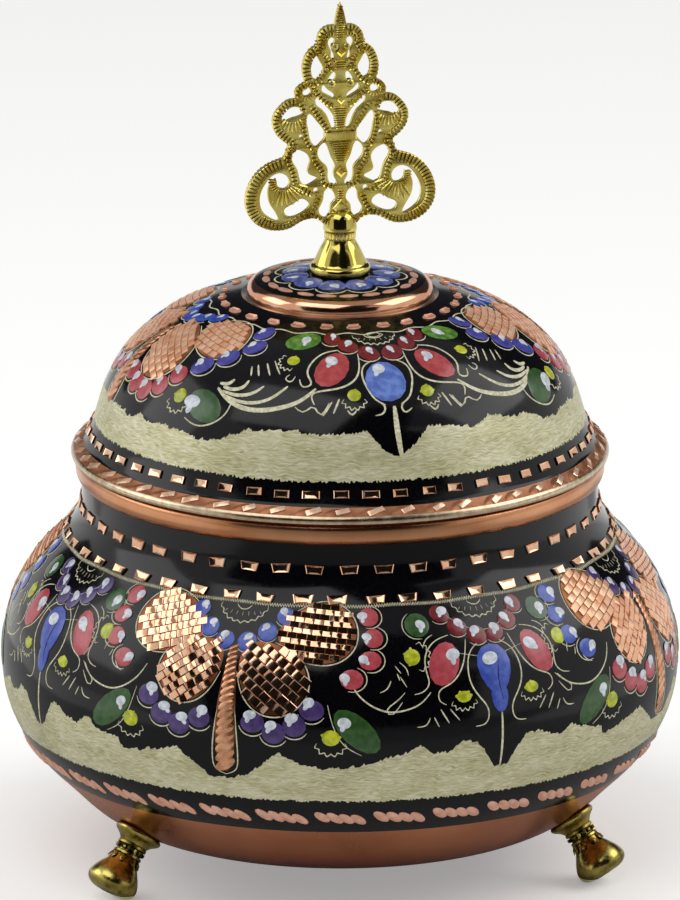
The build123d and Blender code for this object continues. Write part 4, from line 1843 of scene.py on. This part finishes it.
    def outline(self) -> np.ndarray:
        """Draws the silhouette.

        Returns:
            Its points, all the way round.
        """
        right = [spline(knots, 6 * len(knots))[:-1] for _, *knots in self.rims]
        right = np.vstack([*right, self.rims[-1][-1]])
        return np.concatenate([right, (right * (-1, 1))[:0:-1]])

    def rounds(self) -> list[np.ndarray]:
        """Draws the openings and holes.

        Returns:
            The points of each, for both sides.
        """
        shapes = []
        for points in self.openings:
            loop = spline([*points[-2:], *points, *points[:2]], 12 * (len(points) + 3))
            away = np.linalg.norm(loop - points[0], axis=1)
            first, half = int(np.argmin(away[: len(loop) // 3])), len(loop) // 2
            hole = loop[first : half + int(np.argmin(away[half:])) : 3]
            middle = hole.mean(0)
            shapes.append(middle + (hole - middle) * (self.wider if len(points) < 14 else 1.04))
        for x, y, r in self.holes:
            a = np.linspace(0, math.tau, 16, endpoint=False)
            shapes.append(np.stack([x + r * np.cos(a), y + r * np.sin(a)], 1))
        return shapes + [shape * (-1, 1) for shape in shapes]

    def blank(self) -> None:
        """Cuts the flat plate."""
        drawn = bpy.data.curves.new("finial_plate_blank", "CURVE")
        drawn.dimensions, drawn.fill_mode = "2D", "BOTH"
        drawn.extrude, drawn.bevel_depth, drawn.bevel_resolution = self.half - self.edge, self.edge, 1
        for shape in (self.outline(), *self.rounds()):
            loop = drawn.splines.new("POLY")
            loop.points.add(len(shape) - 1)
            flat = np.column_stack([shape, np.zeros(len(shape)), np.ones(len(shape))])
            loop.points.foreach_set("co", flat.ravel())
            loop.use_cyclic_u = True
        alone(link_new(drawn))
        bpy.ops.object.convert(target="MESH")
        piece = bpy.context.object
        piece.data.vertices.foreach_set("co", Slab(self.turned, 0).place(points_of(piece), 0).ravel())
        seal(piece)
        smooth(piece, 35)
        piece.data.materials.clear()
        piece.data.materials.append(CAST_BRASS.material())
        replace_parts(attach(piece, self.body), "finial_plate")

    def ribs(self, s: Sheet, path: np.ndarray, wide: float, inward: float) -> None:
        """Lays short bars across a path.

        Args:
            s: The sheet.
            path: The path.
            wide: Length of the bars.
            inward: How far their middles lie to its right.
        """
        run = run_of(path)
        values = (*path.T, *np.gradient(path, axis=0).T)
        for at in np.arange(self.rib_pitch / 2, run[-1], self.rib_pitch):
            x, y, dx, dy = (float(np.interp(at, run, v)) for v in values)
            lean = math.degrees(math.atan2(dy, dx)) - 90
            c, n = swing(lean)
            sides, lean = (wide, self.rib_pitch * 0.62), lean + s.chance.uniform(-7, 7)
            s.dab(Role.ROPE, x + inward * c, y + inward * n, *sides, lean, 0.22, mark=self.marks.scoop)

    def fan(
        self, s: Sheet, side: int, place: Point, inner: float, outer: float, start: float, end: float
    ) -> None:
        """Lays leaves that spread from a place.

        Args:
            s: The sheet.
            side: 1 for the right half of the plate and -1 for the left one.
            place: Where the leaves would meet.
            inner: Radius at their inner ends.
            outer: Radius at their outer ends.
            start: First angle in degrees.
            end: Last angle in degrees.
        """
        step, share = (13, 0.62) if outer > 2 else (24, 1.2)
        middle = (inner + outer) / 2
        for angle in np.arange(start, end + 1, step):
            c, n = swing(angle)
            x, y = side * (place[0] + middle * c), place[1] + middle * n
            sides, lean = (outer - inner, 0.3 * middle * share), math.degrees(math.atan2(n, side * c))
            s.dab(Role.ROPE, x, y, *sides, lean, 0.4, mark=self.marks.lobe)

    def relief(self) -> None:
        """Lays ribs, fans, the urn, knobs and diamonds on both faces."""
        s = Sheet(self.marks, random.Random(5))
        for side in (-1, 1):
            for inward, lines in ((0.43, self.rims), (0.0, self.bands)):
                for wide, *knots in lines:
                    self.ribs(s, spline(knots, 60) * (side, 1), wide, side * inward * wide)
            for fan in self.fans:
                self.fan(s, side, *fan)
            for x, y, r in self.knobs:
                s.dab(Role.ROPE, side * x, y, 2 * r, 2 * r, 0, 0.4)
                # Painted shade: a near-black dab on each knob's top stands for the dark inside its hole.
                s.dab(Role.SEAM, side * x, y, 0.8 * r, 0.8 * r, 0, 0.42)
        for top, low, wide, narrow in self.urn:
            for y in np.arange(top, low, -0.42):
                half = wide + (narrow - wide) * (top - y) / (top - low)
                s.dab(Role.ROPE, 0, y, 2 * half, 0.4, 0, 0.42, mark=self.marks.lobe)
        s.dab(Role.ROPE, 0, 131.5, 5.6, 1.5, 0, 0.45, mark=self.marks.scoop)
        for y, size in self.diamonds:
            s.dab(Role.ROPE, 0, y, size, size, 45, 0.3, mark=self.marks.scoop)
        ornament = Ornament(self.body, "finial_plate", Slab(self.turned, self.half))
        ornament.add(s, (0, 180), {Role.ROPE: ("ribs", CAST_BRASS), Role.SEAM: ("knob_holes", KNOB_HOLE_SHADE)})
        ornament.build()

    def build(self) -> None:
        """Makes the whole plate."""
        self.blank()
        self.relief()


@dataclass
class FinialSocket:
    """The turned brass socket that holds the plate: flared foot, milled band and ball; sizes in mm."""

    marks: Marks
    body: str = "lid"
    radius: float = 2.7
    low: float = 112.9
    high: float = 114.0
    teeth: int = 24
    foot: Line = ((4.9, 106.5), (5.25, 106.8), (5.4, 107.4), (5.25, 108.0), (4.8, 108.35))
    flare: Line = ((4.75, 108.4), (4.3, 109.4), (3.8, 110.5), (3.25, 111.6), (2.8, 112.4), (2.65, 112.75))
    ball: Line = (
        (2.85, 114.1), (2.98, 114.5), (2.92, 115.3), (2.75, 116.3), (2.3, 117.2), (1.4, 117.9), (0, 118)
    )

    def build(self) -> None:
        """Spins the socket and mills its band."""
        r, low, high = self.radius, self.low, self.high
        band = [(r, low), (r, high)]
        profile = [(0, 106.5), spline(self.foot, 14), spline(self.flare, 12), band, spline(self.ball, 18)]
        piece = turn("finial_socket_turned", profile, [(lambda r, z: True, BRASS)], 64)
        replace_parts(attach(piece, self.body), "finial_socket")
        s = Sheet(self.marks, random.Random(3))
        for x in s.around(self.teeth, r):
            s.dab(Role.ROPE, x, (high - low) / 2, high - low, 0.7, 78, 0.16, mark=self.marks.lobe)
        ornament = Ornament(self.body, "finial_socket", Wall(np.array(band), r))
        ornament.add(s, (0,), {Role.ROPE: ("milling", CAST_BRASS)})
        ornament.build()


@dataclass
class Feet:
    """Three leaning cast brass feet: a slanted pad, a notched neck and a rounded bulb; sizes in mm."""

    marks: Marks
    body: str = "bowl"
    seat: Point = (44.3, 11.36)
    lean: float = 36.5
    notches: int = 9
    waist: float = 2.2
    azimuths: Table = (("back_foot", 180), ("front_left_foot", -60), ("front_right_foot", 60))
    pad: Line = ((3.9, -0.3), (4.25, 0.0), (4.3, 0.4), (3.9, 0.9), (3.1, 1.5), (2.55, 2.2))
    neck: Line = ((2.7, 2.4), (2.7, 2.8), (2.2, 3.0), (2.2, 3.9), (2.6, 4.1), (2.65, 4.5))
    bulb: Line = (
        (2.35, 4.7), (2.65, 5.6), (3.4, 6.9), (4.2, 8.3), (4.6, 9.5), (4.55, 10.4), (4.1, 11), (3.3, 11.5),
        (2.2, 11.7), (0, 11.75),
    )
    beads: Line = ((2.2, 3.0), (2.2, 3.9), (2.6, 4.1), (2.5, 4.8), (3.6, 6.9))

    def model(self) -> Piece:
        """Models one foot upside down about its own axis.

        Returns:
            The foot.
        """
        profile = [(0, -0.3), spline(self.pad, 16), self.neck, spline(self.bulb, 30)]
        foot = turn("foot", profile, [(lambda r, z: True, AGED_BRASS)], 64)
        s = Sheet(self.marks, random.Random(8))
        for notch, groove in zip(s.around(self.notches, self.waist), s.around(self.notches, self.waist, 0.5)):
            s.dab(Role.ROPE, notch, 0.45, 0.9, 0.75, 0, 0.42, mark=self.marks.scoop)
            s.dab(Role.ROPE, groove, 2.6, 0.8, 1.5, 0, 0.3, mark=self.marks.lobe)
        beads = Ornament(self.body, "foot", Wall(np.array(self.beads), self.waist))
        beads.add(s, (0,), {Role.ROPE: ("beads", AGED_BRASS)})
        (ring,) = beads.pieces()
        alone(foot)
        ring.select_set(True)
        bpy.ops.object.join()
        return foot

    def build(self) -> None:
        """Places a copy of the foot at each seat."""
        foot = self.model()
        p = points_of(foot)
        flat, steep = swing(self.lean)
        for node, azimuth in self.azimuths:
            c, s = swing(azimuth)
            out, across, up = np.array([s, -c, 0]), np.array([c, s, 0]), np.array([0, 0, 1.0])
            axis = out * steep - up * flat
            middle = (out * self.seat[0] + up * self.seat[1]) * MM
            mesh = foot.data.copy()
            mesh.name = f"{node}_cast"
            placed = middle + p @ np.stack([across, np.cross(axis, across), axis])
            mesh.vertices.foreach_set("co", placed.ravel())
            mesh.update()
            piece = link_new(mesh)
            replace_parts(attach(piece, self.body), node)
        bpy.data.meshes.remove(foot.data)


@dataclass
class Metalwork:
    """The parts that keep their CAD shape and get their real metal."""

    finishes: Table = (
        (STEEL, ("finial_washer", "finial_nut")),
        (TIN, ("lid_ring",)),
        (BRASS, ("finial_stud", "back_foot_screw", "front_left_foot_screw", "front_right_foot_screw")),
    )

    def dress(self) -> None:
        """Puts each finish on its CAD nodes."""
        for finish, nodes in self.finishes:
            for node in nodes:
                mesh = frame["nodes"][node].data
                mesh.materials.clear()
                mesh.materials.append(finish.material())


@dataclass
class Studio:
    """Plain pale floor, soft boxes and the camera at the photograph's angle; sizes in metres and degrees.

    A soft box and a hung cloth are given by azimuth and height angle, and a flat cloth by its place and the
    way it faces, up or down. Only gleaming surfaces show the cloths.
    """

    camera_distance: float = 2.5
    camera_azimuth: float = -7.0
    camera_elevation: float = 15.7
    target_height: float = 0.074
    lens: float = 565.8
    ambient: float = 0.5
    glow: float = 0.3
    softboxes: Table = (
        ("top_left_softbox", (-42, 58), (0.85, 0.6), 1.85),
        ("left_softbox", (-102, 28), (0.6, 0.6), 1.7),
        ("right_softbox", (85, 42), (0.75, 0.6), 2.3),
    )
    hung: Table = (
        ("black_cloth_in_front", "0A0A0C", 0, 19, (3.4, 1.5)),
        ("black_cloth_higher", "0A0A0C", 0, 50, (1.7, 0.9)),
        ("grey_cloth_behind", "4A4A50", 180, 29, (3.4, 1.1)),
    )
    flat: Table = (
        ("pale_cloth_above", "E2E2E8", (0, 0.1, 1.6), -1, (3.6, 3.2)),
        ("grey_cloth_on_floor", "A8A8A8", (0, -0.95, 0.001), 1, (1.7, 1.5)),
        ("grey_cloth_under", "CACACA", (0, 0, 0.0015), 1, (0.4, 0.4)),
    )

    def aim(self, azimuth: float, elevation: float, distance: float) -> tuple[Vector, Vector]:
        """Place of something that faces the bowl.

        Args:
            azimuth: Degrees from the front towards the right.
            elevation: Degrees above the horizon.
            distance: Distance from the target.

        Returns:
            Its place, and the direction from it to the target.
        """
        (ca, sa), (ce, se) = swing(azimuth), swing(elevation)
        back = Vector((sa * ce, -ca * ce, se))
        return Vector((0, 0, self.target_height)) + distance * back, -back

    def mount(self, data: bpy.types.ID, *place: float) -> Piece:
        """Puts up the camera or a lamp so that it faces the bowl.

        Args:
            data: The camera or lamp.
            place: Azimuth, height angle and distance.

        Returns:
            Its object.
        """
        holder = link_new(data)
        holder.location, ahead = self.aim(*place)
        holder.rotation_euler = ahead.to_track_quat("-Z", "Y").to_euler()
        return holder

    def camera(self) -> None:
        """Makes the camera."""
        eye = bpy.data.cameras.new("camera")
        eye.lens, eye.sensor_width, eye.clip_end = self.lens, 36.0, 20.0
        place = self.camera_azimuth, self.camera_elevation, self.camera_distance
        bpy.context.scene.camera = self.mount(eye, *place)

    def softbox(self, name: str, place: Point, size: Point, radiance: float) -> None:
        """Hangs a soft box that faces the bowl.

        Args:
            name: Name of the lamp.
            place: Azimuth and height angle.
            size: Width and height.
            radiance: Brightness of its face, where 1 is white.
        """
        lamp = bpy.data.lights.new(name, "AREA")
        lamp.shape, lamp.size, lamp.size_y = "RECTANGLE", *size
        lamp.energy = radiance * math.pi * size[0] * size[1]
        self.mount(lamp, *place, 1.0)

    def seen(self, tree: Tree) -> bpy.types.Node:
        """Tells rays that show something to the camera, straight or by way of metal or glass.

        Args:
            tree: Node tree of the world or a material.

        Returns:
            Node that gives 1 or 0.
        """
        ray = add_node(tree, "LightPath", {}).outputs
        straight = {0: ray["Is Camera Ray"], 1: ray["Is Glossy Ray"]}
        either = add_node(tree, "Math", straight, operation="MAXIMUM")
        return add_node(tree, "Math", {0: either, 1: ray["Is Transmission Ray"]}, operation="MAXIMUM")

    def world(self) -> None:
        """White behind the bowl for the camera, metal and glass, and a plain dimmer light for the rest."""
        made = bpy.data.worlds.new("studio")
        bpy.context.scene.world = made
        tree = emptied(made)
        level = add_node(tree, "MapRange", {0: self.seen(tree), 3: self.ambient, 4: 1.0})
        light = add_node(tree, "Background", {"Strength": level})
        add_node(tree, "OutputWorld", {"Surface": light})

    def floor(self) -> None:
        """Lays the floor: plain pale paper, which glows a little where the camera, metal or glass sees it."""
        bpy.ops.mesh.primitive_circle_add(vertices=96, radius=3.0, fill_type="NGON", location=(0, 0, 0))
        piece = bpy.context.object
        piece.name = "floor"
        made = bpy.data.materials.new("pale_paper")
        tree = emptied(made)
        paper = add_node(tree, "BsdfDiffuse", {"Color": rgb("F4F4F2")})
        glow = add_node(tree, "Emission", {"Color": rgb("FFFFFF"), "Strength": self.glow})
        glowing = add_node(tree, "AddShader", {0: paper, 1: glow})
        surface = add_node(tree, "MixShader", {0: self.seen(tree), 1: paper, 2: glowing})
        add_node(tree, "OutputMaterial", {"Surface": surface})
        piece.data.materials.append(made)

    def cloth(self, name: str, colour: str, place: Vector, ahead: Vector, size: Point) -> None:
        """Hangs a plain cloth that only gleaming surfaces show.

        Args:
            name: Name of the cloth and of its dull woven stuff.
            colour: Its colour.
            place: Its middle.
            ahead: The way it faces.
            size: Width and height in metres.
        """
        made = bpy.data.materials.new(name)
        tree = emptied(made)
        dull = add_node(tree, "BsdfPrincipled", {"Base Color": rgb(colour), "Roughness": 1.0})
        add_node(tree, "OutputMaterial", {"Surface": dull})
        turned = ahead.to_track_quat("Z", "Y").to_euler()
        bpy.ops.mesh.primitive_plane_add(size=1, location=place, rotation=turned)
        card = bpy.context.object
        card.scale = (*size, 1)
        card.name = name
        card.data.materials.append(made)
        card.visible_camera = card.visible_diffuse = card.visible_shadow = card.visible_transmission = False

    def build(self) -> None:
        """Sets up the whole studio."""
        bpy.context.scene.view_settings.view_transform = "Standard"
        self.camera()
        self.world()
        self.floor()
        for name, colour, azimuth, elevation, size in self.hung:
            self.cloth(name, colour, *self.aim(azimuth + self.camera_azimuth, elevation, 1.6), size)
        for name, colour, place, faces, size in self.flat:
            self.cloth(name, colour, Vector(place), Vector((0, 0, faces)), size)
        for box in self.softboxes:
            self.softbox(*box)


def main() -> None:
    """Builds the sugar bowl's looks in order and reports each piece."""
    logging.basicConfig(level=logging.INFO, format="%(message)s")
    bpy.ops.object.select_all(action="DESELECT")
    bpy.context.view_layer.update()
    Metalwork().dress()
    bowl, lid, marks = Bowl(), Lid(), Marks()
    bowl.build()
    lid.build()
    BowlPainting(marks, bowl.painted(), bowl.body).build()
    LidPainting(marks, lid.painted(), lid.body).build()
    FinialPlate(marks).build()
    FinialSocket(marks).build()
    Feet(marks).build()
    Studio().build()
    for piece in bpy.context.scene.objects:
        if piece.type == "MESH":
            log.info("%s: %d faces", piece.name, len(piece.data.polygons))


if __name__ == "__main__":
    main()
